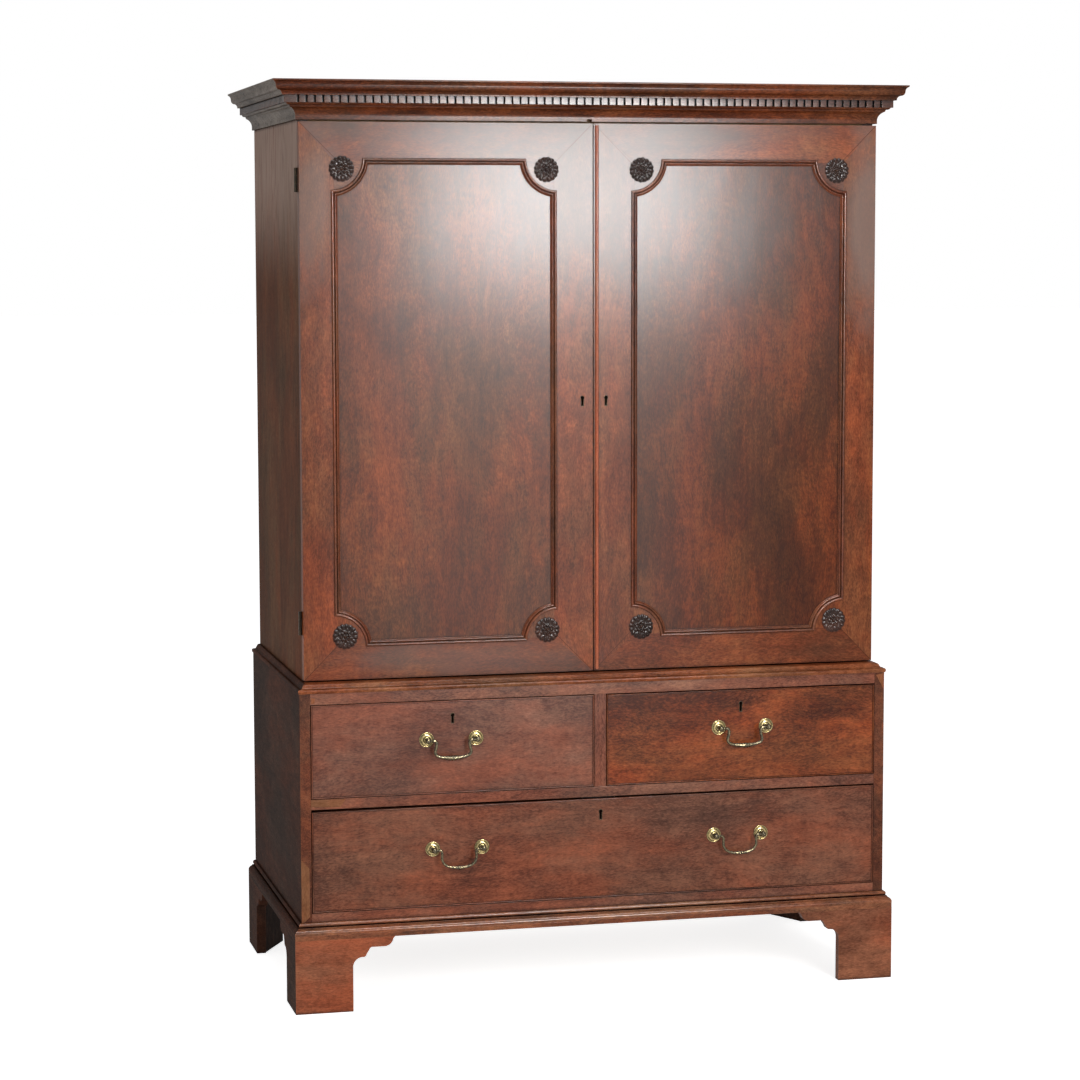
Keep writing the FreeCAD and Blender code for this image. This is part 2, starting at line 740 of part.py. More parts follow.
def moulding_corners():
    """The four corners of the panel moulding's outer lines, with the directions toward the panel."""
    left, right = panel_inner_line - moulding_overlap, panel_outer_line + moulding_overlap
    low, high = panel_bottom_line - moulding_overlap, panel_top_line + moulding_overlap
    return [(left, low, 1, 1), (left, high, 1, -1), (right, high, -1, -1), (right, low, -1, 1)]


def spandrels():
    """Thin pieces that fill each corner of the frame out to the hollow corner of the moulding."""
    pieces = []
    reach = corner_radius + moulding_overlap - tongue_gap
    for x, z, across, up in moulding_corners():
        first = math.asin(moulding_overlap / reach)
        turn = (math.pi / 2 - 2 * first) / spandrel_sides
        edge = [(reach * math.cos(first + k * turn), reach * math.sin(first + k * turn))
                for k in range(spandrel_sides + 1)]
        outline = [(moulding_overlap, moulding_overlap)] + edge
        pieces.append(polygon([(x + across * u, z + up * v) for u, v in outline],
                              in_elevation(panel_face), V(0, -panel_sunk, 0)))
    return pieces


def moulding_profile():
    """Section of the panel moulding: width from the frame side, height over the frame's face."""
    wide = moulding_width
    return (0, 0), [
        (moulding_rise, moulding_proud),
        (2 * moulding_rise, moulding_proud),
        (moulding_quirk, moulding_quirk_height),
        (moulding_ridge, moulding_ridge_height),
        (wide, moulding_edge - panel_sunk),
        (wide, -panel_sunk),
        (moulding_overlap, -panel_sunk),
        (moulding_overlap, 0),
    ]


def panel_mouldings():
    """Four straight lengths and four hollow corners, mitred where they meet."""
    start, steps = moulding_profile()
    span = corner_radius + moulding_width
    drop = moulding_width
    inner_run = math.sqrt(span ** 2 - drop ** 2)
    reach = 3.0
    past = (corner_radius + (inner_run - corner_radius) * reach, drop * reach)
    deep = V(0, -2 * door_thickness, 0)
    pieces = []
    turn = math.pi / 2 / bend_sides
    for x, z, across, up in moulding_corners():
        chords = []
        for index in range(bend_sides):
            toward = (index + 0.5) * turn
            out = V(across * math.cos(toward), 0, up * math.sin(toward))
            along = V(-across * math.sin(toward), 0, up * math.cos(toward)) * span
            middle = V(x, -door_face, z)
            chord = prism(start, steps, lambda w, h: middle + out * (corner_radius + w) + V(0, -h, 0) - along / 2,
                          along)
            wedge = [(x, z)] + [(x + across * 2 * span * math.cos(angle), z + up * 2 * span * math.sin(angle))
                                for angle in (index * turn, (index + 1) * turn)]
            chords.append(chord.common(polygon(wedge, in_elevation(door_back), deep)))
        bend = fused(*chords)
        sector = [(0, 0), (corner_radius, 0), past, (past[1], past[0]), (0, corner_radius)]
        bend = bend.common(polygon([(x + across * a, z + up * b) for a, b in sector],
                                   in_elevation(door_back), deep))
        pieces.append(bend)
    corners = moulding_corners()
    for index in range(4):
        (x0, z0, across0, up0), (x1, z1, across1, up1) = corners[index], corners[(index + 1) % 4]
        upright = x0 == x1
        if upright:
            bar = prism(start, steps, lambda w, h: V(x0 + across0 * w, -(door_face + h), z0), V(0, 0, z1 - z0))
            keep = [(x0, z0 + up0 * corner_radius), (x0 + across0 * past[1], z0 + up0 * past[0]),
                    (x1 + across1 * past[1], z1 + up1 * past[0]), (x1, z1 + up1 * corner_radius)]
        else:
            bar = prism(start, steps, lambda w, h: V(x0, -(door_face + h), z0 + up0 * w), V(x1 - x0, 0, 0))
            keep = [(x0 + across0 * corner_radius, z0), (x0 + across0 * past[0], z0 + up0 * past[1]),
                    (x1 + across1 * past[0], z1 + up1 * past[1]), (x1 + across1 * corner_radius, z1)]
        pieces.append(bar.common(polygon(keep, in_elevation(door_back), deep)))
    return pieces


def rosette():
    """Carved flower at the origin: petals parted by notches, with a raised boss in the middle."""
    petal = 2 * math.pi / rosette_petals
    valley = rosette_radius * rosette_valley
    points = []
    for index in range(rosette_petals):
        for share, radius in ((0, valley), (0.3, rosette_radius), (0.7, rosette_radius)):
            angle = petal * (index + share)
            points.append((radius * math.cos(angle), radius * math.sin(angle)))
    petals = polygon(points, lambda u, v: V(u, 0, v), V(0, -rosette_thickness, 0))
    boss = faceted([(rosette_boss, 0), (rosette_boss, rosette_thickness), (rosette_boss / 2, rosette_proud)],
                   rosette_petals, 0, 0, 0)
    return fused(petals, boss)


def rosettes():
    flower = rosette()
    pieces = []
    for x, z, across, up in moulding_corners():
        copy = flower.copy()
        copy.translate(V(x + across * rosette_inset, -door_face, z + up * rosette_inset))
        pieces.append(copy)
    return pieces


def meeting_bead():
    """Half-round bead up the right door's meeting stile, rounded over at both ends."""
    left = -right_meeting_edge + meeting_bead_inset
    half = meeting_bead_width / 2
    low, high = door_bottom + meeting_bead_end_gap, door_top - meeting_bead_end_gap
    bar = prism((left, door_face), [(left + meeting_bead_width, door_face), (left, door_face, -meeting_bead_proud)],
                in_plan(low), V(0, 0, high - low))
    ends = prism((left, low + half), [(left + meeting_bead_width, low + half, -half),
                                      (left + meeting_bead_width, high - half), (left, high - half, -half)],
                 in_elevation(door_face), V(0, -2 * meeting_bead_proud, 0))
    return bar.common(ends)


def slide_bolt_mortise(surface, upward):
    """Blind hole for a door bolt in the board above the cupboard's opening or below it."""
    half = slide_bolt_size / 2 + bolt_gap * 2
    depth = door_back - slide_bolt_standoff - slide_bolt_size / 2
    end = surface + upward * (slide_bolt_throw + mortise_gap)
    return block(-slide_bolt_line - half, -slide_bolt_line + half, depth - half, depth + half,
                 min(surface, end), max(surface, end))


def slide_bolt(tip, upward):
    """Square bolt with a finger knob, and the plate with two keepers that it runs in."""
    half = slide_bolt_size / 2
    depth = door_back - slide_bolt_standoff - half
    tail = tip - upward * slide_bolt_length
    bar = block(-slide_bolt_line - half, -slide_bolt_line + half, depth - half, depth + half,
                min(tip, tail), max(tip, tail))
    middle = (tip + tail) / 2
    knob = faceted([(slide_bolt_knob, 0), (slide_bolt_knob, slide_bolt_knob)], 8, -slide_bolt_line, middle,
                   depth - half - slide_bolt_knob)
    plate_tip = tip - upward * seat_gap
    plate_tail = tip - upward * (slide_bolt_length + slide_bolt_throw)
    wide = slide_plate_width / 2
    plate = block(-slide_bolt_line - wide, -slide_bolt_line + wide, door_back - slide_plate, door_back,
                  min(plate_tip, plate_tail), max(plate_tip, plate_tail))
    keepers = []
    for centre in (middle + upward * slide_bolt_length * 0.38, middle - upward * slide_bolt_length * 0.3):
        keepers.append(block(-slide_bolt_line - wide, -slide_bolt_line + wide, depth - half - slide_plate,
                             door_back - slide_plate, centre - keeper_height / 2, centre + keeper_height / 2))
    channel = half + bolt_gap
    plate = fused(plate, *keepers).cut(
        block(-slide_bolt_line - channel, -slide_bolt_line + channel, depth - channel, depth + channel,
              min(plate_tip, plate_tail) - 1, max(plate_tip, plate_tail) + 1))
    return fused(bar, knob), plate


def build_left_door():
    mortise_half = bolt_width / 2 + bolt_gap
    bolt_depth = door_back + lock_depth / 2
    mortise = block(-left_meeting_edge - bolt_throw - mortise_gap, -left_meeting_edge,
                    bolt_depth - bolt_thickness / 2 - bolt_gap, bolt_depth + bolt_thickness / 2 + bolt_gap,
                    door_keyhole_height - mortise_half, door_keyhole_height + mortise_half)
    top = door_keyhole_height + keyhole_height / 2
    x = -door_keyhole_line
    liner_back = door_face - keyhole_liner_depth
    outer = keyhole(x, top, liner_back, door_face, keyhole_liner)
    liner = outer.cut(keyhole(x, top, liner_back - 1, door_face + 1))
    members = [cut_all(mirrored(member), [mortise, outer]) for member in door_frame(left_meeting_edge)]
    node("left_door_frame", *members, *[mirrored(piece) for piece in spandrels()])
    node("left_door_panel", mirrored(door_panel()))
    node("left_door_mouldings", *[mirrored(piece) for piece in panel_mouldings()])
    node("left_door_rosettes", *[mirrored(piece) for piece in rosettes()])
    top_bolt, top_plate = slide_bolt(upper_ceiling - bolt_gap, 1)
    bottom_bolt, bottom_plate = slide_bolt(door_bottom + bolt_gap, -1)
    node("left_door_top_bolt", top_bolt)
    node("left_door_bottom_bolt", bottom_bolt)
    node("left_door_fittings", liner, top_plate, bottom_plate)


def build_right_door():
    edge = -right_meeting_edge
    back, front = door_back, door_back + lock_depth
    middle = door_keyhole_height
    tall = door_lock_height / 2
    case = block(edge + lock_plate, edge + door_lock_width, back, front, middle - tall, middle + tall)
    plate = block(edge, edge + lock_plate, back, front,
                  middle - tall - lock_plate_overhang, middle + tall + lock_plate_overhang)
    bolt_depth = (back + front) / 2
    half, thin = bolt_width / 2, bolt_thickness / 2
    bolt = block(edge + bolt_gap, edge + door_lock_width / 2 - bolt_throw, bolt_depth - thin, bolt_depth + thin,
                 middle - half, middle + half)
    slot = block(edge - 1, edge + door_lock_width / 2 - bolt_throw + bolt_gap, bolt_depth - thin - bolt_gap,
                 bolt_depth + thin + bolt_gap, middle - half - bolt_gap, middle + half + bolt_gap)
    top = middle + keyhole_height / 2
    body = fused(case, plate)
    liner_back = door_face - keyhole_liner_depth
    outer = keyhole(door_keyhole_line, top, liner_back, door_face, keyhole_liner)
    liner = outer.cut(keyhole(door_keyhole_line, top, liner_back - 1, door_face + 1))
    passage = keyhole(door_keyhole_line, top, bolt_depth + thin, door_face)
    lock = cut_all(body, [slot, passage])
    members = [cut_all(member, [body, passage, outer]) for member in door_frame(edge)]
    node("right_door_frame", *members, *spandrels())
    node("right_door_panel", door_panel())
    node("right_door_mouldings", *panel_mouldings())
    node("right_door_rosettes", *rosettes())
    node("right_door_bead", meeting_bead())
    node("right_door_lock", lock, liner)
    node("right_door_lock_bolt", bolt)


# ---- trays -------------------------------------------------------------------------------------------
def build_trays():
    """Open trays on runners; each front dips in the middle as a hand hold."""
    pitch = (upper_ceiling - upper_floor) / tray_count
    front_edge = upper_depth - tray_setback
    back_edge = back_board + tray_back_space
    half = inner_upper - tray_side_gap
    inside = half - tray_board
    runners = []
    for index in range(tray_count):
        shelf = upper_floor + runner_height + index * pitch
        runners += both_sides(block(inner_upper - runner_width, inner_upper, back_board, front_edge,
                                    shelf - runner_height, shelf))
        low = shelf + running_gap
        base = low + tray_bottom
        sides = both_sides(block(inside, half, back_edge, front_edge, low, low + tray_height))
        floor = block(-inside, inside, back_edge, front_edge, low, base)
        back = block(-inside, inside, back_edge, back_edge + tray_board, base, low + tray_height)
        rim = low + tray_front_height
        curve = inside * 0.55
        front = prism((-inside, base), [(inside, base), (inside, rim), (curve, rim), (-curve, rim, tray_scoop),
                                        (-inside, rim)],
                      in_elevation(front_edge - tray_board), V(0, -tray_board, 0))
        node("tray_%d" % (index + 1), *sides, floor, back, front)
    node("tray_runners", *runners)


# ---- drawers -----------------------------------------------------------------------------------------
def drawer_bolt_mortise(x, rail_bottom):
    """Hole in the underside of a rail for a drawer lock's bolt."""
    half = bolt_width / 2 + mortise_gap
    depth = rail_back + lock_depth / 2
    thin = bolt_thickness / 2 + mortise_gap / 2
    return block(x - half, x + half, depth - thin, depth + thin, rail_bottom, rail_bottom + bolt_throw + mortise_gap)


def cock_bead(x0, x1, z0, z1):
    """Four mitred strips with rounded noses, let in round the edge of a drawer front."""
    back = lower_depth - bead_rebate
    nose = bead_width / 2
    wide = bead_width
    outline = (0, back), [(wide, back), (wide, bead_face - nose), (wide - nose * 0.6, bead_face),
                          (nose * 0.6, bead_face), (0, bead_face - nose)]
    deep = V(0, -2 * bead_rebate, 0)
    strips = []
    for x, across in ((x0, 1), (x1, -1)):
        bar = prism(*outline, lambda w, d: V(x + across * w, -d, z0), V(0, 0, z1 - z0))
        keep = [(x, z0), (x + across * wide, z0 + wide), (x + across * wide, z1 - wide), (x, z1)]
        strips.append(bar.common(polygon(keep, in_elevation(back - 1), deep)))
    for z, up in ((z0, 1), (z1, -1)):
        bar = prism(*outline, lambda w, d: V(x0, -d, z + up * w), V(x1 - x0, 0, 0))
        keep = [(x0, z), (x0 + wide, z + up * wide), (x1 - wide, z + up * wide), (x1, z)]
        strips.append(bar.common(polygon(keep, in_elevation(back - 1), deep)))
    return strips


def bail_post(x, z):
    """Turned post on a ringed rose, with its spindle through the front and a square nut behind."""
    rose = faceted([(rose_radius, 0), (rose_radius, 1.4), (rose_radius - 2.9, 3.4), (post_radius, 1.8)],
                   rose_sides, x, z, lower_depth)
    post = faceted([(post_radius, 0), (post_radius, post_standoff - 5), (post_head_radius, post_standoff - 2.6),
                    (post_head_radius, post_standoff + 2.6), (post_head_radius * 0.5, post_standoff + post_nose)],
                   post_sides, x, z, lower_depth)
    shank = shank_size / 2
    spindle = block(x - shank, x + shank, rail_back - nut_thickness, lower_depth, z - shank, z + shank)
    half = nut_size / 2
    nut = block(x - half, x + half, rail_back - nut_thickness, rail_back, z - half, z + half)
    return fused(rose, post, spindle, nut)


def pivot_bore(x, z, inward):
    """Blind bore in a post's head, opening toward the middle of the handle."""
    reach = pivot_engagement - 2.0
    start = V(x - inward * (post_head_radius - reach), -pivot_depth, z)
    return bore(pivot_radius + pin_gap, start, V(inward * 2 * post_head_radius, 0, 0))


def bail(x, z):
    """Drop handle: round pivots, bent arms and a bow that swells in the middle."""
    eye, drop, swell = bail_arm_line, bail_drop, bail_swell
    arm = [(eye + 3.5, 0), (eye, 0), (eye + 2.4, -drop * 0.35), (eye + 0.5, -drop * 0.64),
           (eye - 9.0, -drop * 0.88), (eye * 0.45, -drop)]
    bow = [(eye * 0.30, -drop, bail_radius), (2.5, -drop, swell), (-2.5, -drop, swell),
           (-eye * 0.30, -drop, bail_radius)]
    stations = [(u, v, bail_radius) for u, v in arm] + bow + [(-u, v, bail_radius) for u, v in reversed(arm)]
    rings = []
    for index, (u, v, radius) in enumerate(stations):
        before = stations[max(index - 1, 0)]
        after = stations[min(index + 1, len(stations) - 1)]
        arriving = math.atan2(v - before[1], u - before[0]) if index else math.pi
        leaving = math.atan2(after[1] - v, after[0] - u) if index < len(stations) - 1 else math.pi
        half_turn = math.remainder(leaving - arriving, 2 * math.pi) / 2
        across = arriving + half_turn + math.pi / 2
        widen = radius / math.cos(half_turn)
        ring = []
        for k in range(bail_sides + 1):
            angle = k * 2 * math.pi / bail_sides
            out = widen * math.cos(angle)
            ring.append(V(u + out * math.cos(across), radius * math.sin(angle), v + out * math.sin(across)))
        rings.append(ring)
    faces = [Part.Face(Part.makePolygon(ring)) for ring in (rings[0], rings[-1])]
    for near, far in zip(rings, rings[1:]):
        for k in range(bail_sides):
            faces.append(Part.Face(Part.makePolygon([near[k], near[k + 1], far[k + 1], far[k], near[k]])))
    body = Part.Solid(Part.Shell(faces))
    end = post_spacing / 2 - post_head_radius + pivot_engagement
    pins = [rod(pivot_radius, V(sign * (eye + 3), 0, 0), V(sign * (end - eye - 3), 0, 0)) for sign in (-1, 1)]
    whole = fused(body, *pins)
    whole.translate(V(x, -pivot_depth, z))
    return whole


def drawer_lock(x, top):
    """Lock let into the back of a drawer front, its bolt, and the brass liner of its keyhole."""
    back, front = rail_back, rail_back + lock_depth
    half = lock_width / 2
    body = fused(block(x - half, x + half, back, front, top - lock_height, top),
                 block(x - half - lock_plate_overhang, x + half + lock_plate_overhang, back, front,
                       top - lock_plate, top))
    middle = (back + front) / 2
    thin, wide = bolt_thickness / 2, bolt_width / 2
    low = top - lock_height / 2 + bolt_gap
    bolt = block(x - wide, x + wide, middle - thin, middle + thin, low, top - bolt_gap)
    slot = block(x - wide - bolt_gap, x + wide + bolt_gap, middle - thin - bolt_gap, middle + thin + bolt_gap,
                 low - bolt_gap, top + 1)
    key_top = top - keyhole_drop
    passage = keyhole(x, key_top, middle + thin, lower_depth)
    liner_back = lower_depth - keyhole_liner_depth
    outer = keyhole(x, key_top, liner_back, lower_depth, keyhole_liner)
    liner = outer.cut(keyhole(x, key_top, liner_back - 1, lower_depth + 1))
    lock = cut_all(body, [slot, passage])
    return lock, bolt, liner, [body, passage, outer]


def build_drawer(name, x0, x1, z0, z1, keyhole_shift, handle_rise, handles):
    """One drawer in the opening x0..x1, z0..z1; handles maps a bail's node name to its place across."""
    left, right, low, high = x0 + drawer_gap, x1 - drawer_gap, z0 + drawer_gap, z1 - drawer_gap
    inset = bead_width
    step = lower_depth - bead_rebate
    front = fused(block(left, right, rail_back, step, low, high),
                  block(left + inset, right - inset, step, lower_depth, low + inset, high - inset))
    lock, bolt, liner, cuts = drawer_lock((x0 + x1) / 2 + keyhole_shift, high)
    height = (low + high) / 2 + handle_rise
    posts = []
    for bail_name, x in handles.items():
        for inward in (1, -1):
            place = x - inward * post_spacing / 2
            posts.append(bail_post(place, height).cut(pivot_bore(place, height, inward)))
            shank = shank_size / 2
            cuts.append(block(place - shank, place + shank, rail_back, lower_depth, height - shank, height + shank))
        node(bail_name, bail(x, height))
    node(name + "_front", cut_all(front, cuts), *cock_bead(left, right, low, high))
    node(name + "_lock", lock, liner)
    node(name + "_lock_bolt", bolt)
    node(name + "_handle_roses", *posts)

    side_low, side_high = z0 + running_gap, high - drawer_side_drop
    back_edge = back_board + drawer_back_space
    sides = [block(left, left + drawer_board, back_edge, rail_back, side_low, side_high),
             block(right - drawer_board, right, back_edge, rail_back, side_low, side_high)]
    inner_left, inner_right = left + drawer_board, right - drawer_board
    floor_low = low + 3
    floor = block(inner_left, inner_right, back_edge, rail_back, floor_low, floor_low + drawer_bottom)
    back = block(inner_left, inner_right, back_edge, back_edge + drawer_board, floor_low + drawer_bottom,
                 side_high - drawer_back_drop)
    node(name + "_box", *sides, floor, back)


def build_drawers():
    build_drawer("left_drawer", -inner_lower, divider_left, short_bottom, short_top,
                 left_keyhole_shift, short_handle_rise,
                 {"left_drawer_bail": left_middle + left_handle_shift})
    build_drawer("right_drawer", divider_right, inner_lower, short_bottom, short_top,
                 right_keyhole_shift, short_handle_rise,
                 {"right_drawer_bail": right_middle + right_handle_shift})
    build_drawer("long_drawer", -inner_lower, inner_lower, long_bottom, long_top,
                 long_keyhole_shift, long_handle_rise,
                 {"long_drawer_bail_left": -long_handle_line, "long_drawer_bail_right": long_handle_line})


def save():
    """Write one STEP file per node, moved so that the origin lies under the middle of the whole."""
    os.makedirs("parts", exist_ok=True)
    shift = V(0, overall_depth / 2, 0)
    for name, solids in nodes.items():
        pieces = []
        for solid in solids:
            piece = solid.copy()
            piece.translate(shift)
            pieces.append(piece)
        shape = pieces[0] if len(pieces) == 1 else Part.makeCompound(pieces)
        shape.exportStep("parts/" + name + ".step")


build_base()
build_lower_case()
build_runners()
build_chest_mouldings()
build_upper_case()
build_trays()
build_cornice()
build_hinges()
build_left_door()
build_right_door()
build_drawers()
save()
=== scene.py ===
import json
import math
import random

import bmesh
import bpy
from mathutils import Matrix, Vector


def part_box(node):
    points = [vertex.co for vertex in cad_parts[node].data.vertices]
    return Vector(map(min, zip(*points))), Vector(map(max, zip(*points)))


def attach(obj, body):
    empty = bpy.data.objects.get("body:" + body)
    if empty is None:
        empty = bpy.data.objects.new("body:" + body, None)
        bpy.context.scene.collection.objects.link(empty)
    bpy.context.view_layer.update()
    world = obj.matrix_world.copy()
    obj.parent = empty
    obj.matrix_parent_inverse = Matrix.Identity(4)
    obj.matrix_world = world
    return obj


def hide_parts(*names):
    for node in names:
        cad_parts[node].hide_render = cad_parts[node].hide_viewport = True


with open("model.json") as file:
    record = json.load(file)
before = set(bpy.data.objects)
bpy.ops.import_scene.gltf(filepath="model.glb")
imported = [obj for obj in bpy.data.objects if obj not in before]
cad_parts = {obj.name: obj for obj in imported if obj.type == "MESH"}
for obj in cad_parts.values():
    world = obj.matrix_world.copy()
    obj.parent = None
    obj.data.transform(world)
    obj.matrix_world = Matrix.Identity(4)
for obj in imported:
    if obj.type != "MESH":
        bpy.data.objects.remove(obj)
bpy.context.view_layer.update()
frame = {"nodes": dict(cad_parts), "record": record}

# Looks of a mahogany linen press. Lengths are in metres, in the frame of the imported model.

MM = 0.001
SEED = 41
dice = random.Random(SEED)

scene = bpy.context.scene
scene.view_settings.view_transform = "Standard"

# ---- viewpoint and studio --------------------------------------------------------------------------------
CAMERA_PLACE = (-1.5725, -6.2236, 1.5710)
CAMERA_YAW, CAMERA_PITCH, CAMERA_ROLL = -13.755, -5.702, -0.120      # degrees
CAMERA_LENS = 98.81                                                  # millimetres, on a 36 mm sensor

SOFTBOX_PLACE, SOFTBOX_SIZE, SOFTBOX_POWER = (0.99, -4.30, 1.75), (0.98, 0.58), 228.0   # seen in the polish
CARD_PLACE, CARD_SIZE, CARD_POWER = (0.80, -4.30, 1.60), (1.30, 1.35), 58.0
APRON_PLACE, APRON_SIZE, APRON_POWER = (0.80, -4.30, 0.50), (1.30, 0.85), 25.0
OVERHEAD_PLACE, OVERHEAD_SIZE, OVERHEAD_POWER = (0.2, -2.2, 4.2), (2.6, 0.8), 240.0        # on upward rounds
KEY_PLACE, KEY_SIZE, KEY_POWER = (1.1, -4.8, 2.1), (1.6, 1.4), 125.0                       # lights the wood
FILL_PLACE, FILL_SIZE, FILL_POWER = (-4.2, -5.0, 2.4), (2.4, 2.4), 60.0
MIDDLE = (0.0, -0.2, 1.0)
ROOM_LIGHT = 0.40
FLOOR_GLOW = 0.80               # what the camera adds to the lit floor, so that only its shadows show

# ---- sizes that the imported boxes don't give --------------------------------------------------------------
CORNER_RADIUS = 64.5 * MM       # outer edge of the panel mouldings' hollow corners
MOULDING_WIDTH = 13.5 * MM
MOULDING_LAP = 6.5 * MM         # of that on the door frame
ROSETTE_INSET = 22.0 * MM       # centre of a rosette from the mouldings' outer lines
ROSETTE_RADIUS = 26.0 * MM
PETALS = 8
BEAD_PROUD = 1.8 * MM           # cock beads ahead of a drawer's face
POST_SPACING = 104.0 * MM
PIVOT_STANDOFF = 19.0 * MM      # pivot axis ahead of a drawer's face


def make_camera():
    data = bpy.data.cameras.new("camera")
    data.lens = CAMERA_LENS
    data.sensor_width = 36.0
    data.clip_end = 200.0
    camera = bpy.data.objects.new("camera", data)
    turn = Matrix.Rotation(math.radians(CAMERA_YAW), 4, "Z")
    tilt = Matrix.Rotation(math.radians(90 + CAMERA_PITCH), 4, "X")
    roll = Matrix.Rotation(math.radians(CAMERA_ROLL), 4, "Z")
    camera.matrix_world = Matrix.Translation(CAMERA_PLACE) @ turn @ tilt @ roll
    scene.collection.objects.link(camera)
    scene.camera = camera


def make_lamp(name, place, aim, size, power, diffuse=True, glossy=True):
    data = bpy.data.lights.new(name, "AREA")
    data.shape = "RECTANGLE"
    data.size, data.size_y = size
    data.energy = power
    lamp = bpy.data.objects.new(name, data)
    lamp.location = place
    lamp.rotation_euler = (Vector(aim) - Vector(place)).to_track_quat("-Z", "Y").to_euler()
    lamp.visible_camera = False
    lamp.visible_diffuse = diffuse
    lamp.visible_glossy = glossy
    scene.collection.objects.link(lamp)


def make_lamps():
    """Four lamps that only the polish shows, one of them overhead, and two that only light the wood."""
    for name, place, size, power in (("softbox", SOFTBOX_PLACE, SOFTBOX_SIZE, SOFTBOX_POWER),
                                     ("card", CARD_PLACE, CARD_SIZE, CARD_POWER),
                                     ("apron", APRON_PLACE, APRON_SIZE, APRON_POWER)):
        make_lamp(name, place, (place[0], 0.0, place[2]), size, power, diffuse=False)
    make_lamp("overhead", OVERHEAD_PLACE, MIDDLE, OVERHEAD_SIZE, OVERHEAD_POWER, diffuse=False)
    make_lamp("key", KEY_PLACE, MIDDLE, KEY_SIZE, KEY_POWER, glossy=False)
    make_lamp("fill", FILL_PLACE, MIDDLE, FILL_SIZE, FILL_POWER, glossy=False)


# ---- node trees ------------------------------------------------------------------------------------------
class Shader:
    """Writes a node tree: every call adds a node and returns the output that the next one uses."""

    def __init__(self, owner):
        owner.use_nodes = True
        self.tree = owner.node_tree
        self.tree.nodes.clear()

    def node(self, kind, inputs=None, **settings):
        made = self.tree.nodes.new("ShaderNode" + kind)
        for key, value in settings.items():
            setattr(made, key, value)
        for key, value in (inputs or {}).items():
            if isinstance(value, bpy.types.NodeSocket):
                self.tree.links.new(value, made.inputs[key])
            else:
                made.inputs[key].default_value = value
        return made

    def math(self, operation, a, b=0.0, clamp=False):
        return self.node("Math", {0: a, 1: b}, operation=operation, use_clamp=clamp).outputs[0]

    def vector(self, operation, a, b=(0, 0, 0)):
        return self.node("VectorMath", {0: a, 1: b}, operation=operation).outputs[0]

    def noise(self, at, stretch, detail=2.0, roughness=0.5, distortion=0.0):
        """Noise from 0 to 1, with its cells stretched: stretch gives the cells to a metre on each axis."""
        return self.node("TexNoise", {"Vector": self.vector("MULTIPLY", at, stretch), "Scale": 1.0,
                                      "Detail": detail, "Roughness": roughness,
                                      "Distortion": distortion}).outputs[0]

    def span(self, value, low, high, first=0.0, last=1.0):
        """value taken from low..high to first..last with soft ends."""
        return self.node("MapRange", {0: value, 1: low, 2: high, 3: first, 4: last},
                         interpolation_type="SMOOTHSTEP").outputs[0]

    def blend(self, share, a, b, how="MIX"):
        """a where share is 0 and b where it is 1."""
        return self.node("Mix", {0: share, 6: a, 7: b}, data_type="RGBA", blend_type=how).outputs[2]

    def attribute(self, name):
        return self.node("Attribute", attribute_name=name)

    def crevice(self, reach, samples=4):
        """1 in the open, toward 0 in narrow corners."""
        return self.node("AmbientOcclusion", {"Distance": reach}, samples=samples).outputs["AO"]

    def sharp_edge(self, reach):
        """1 on sharp outer edges and 0 on flat faces."""
        rounded = self.node("Bevel", {"Radius": reach}, samples=4).outputs[0]
        true = self.node("NewGeometry").outputs["Normal"]
        apart = self.node("VectorMath", {0: rounded, 1: true}, operation="DOT_PRODUCT").outputs["Value"]
        return self.span(apart, 0.995, 0.90)

    def finish(self, shader):
        out = self.tree.nodes.new("ShaderNodeOutputMaterial")
        self.tree.links.new(shader, out.inputs[0])


def rgb(red, green, blue):
    return (red, green, blue, 1.0)


DULL_TINT, WARM_TINT = rgb(0.92, 1.14, 1.20), rgb(1.10, 0.94, 0.82)         # ends of the slow change of hue
SHEEN_GREY = rgb(0.42, 0.30, 0.245)               # pale grey of a painted sheen
WORN_AND_LIT_EDGE = rgb(0.42, 0.18, 0.09)              # edges that hands have worn pale, and partly a painted highlight on edges and rounds
# near black laid in corners: dirt, and painted shade
CORNER_SHADE_AND_DIRT = rgb(0.010, 0.005, 0.004)
VERDIGRIS = rgb(0.05, 0.09, 0.06)
PALE_EDGE_WIDTH = 1.4 * MM                       # of the pale line along an edge, worn and partly a painted highlight
SEAM_WIDTH = 0.5 * MM, 1.4 * MM             # half the width of a mitre's line, dark and faded
SEAM_LENGTH = 90 * MM                       # of a door frame's mitre, from the door's corner


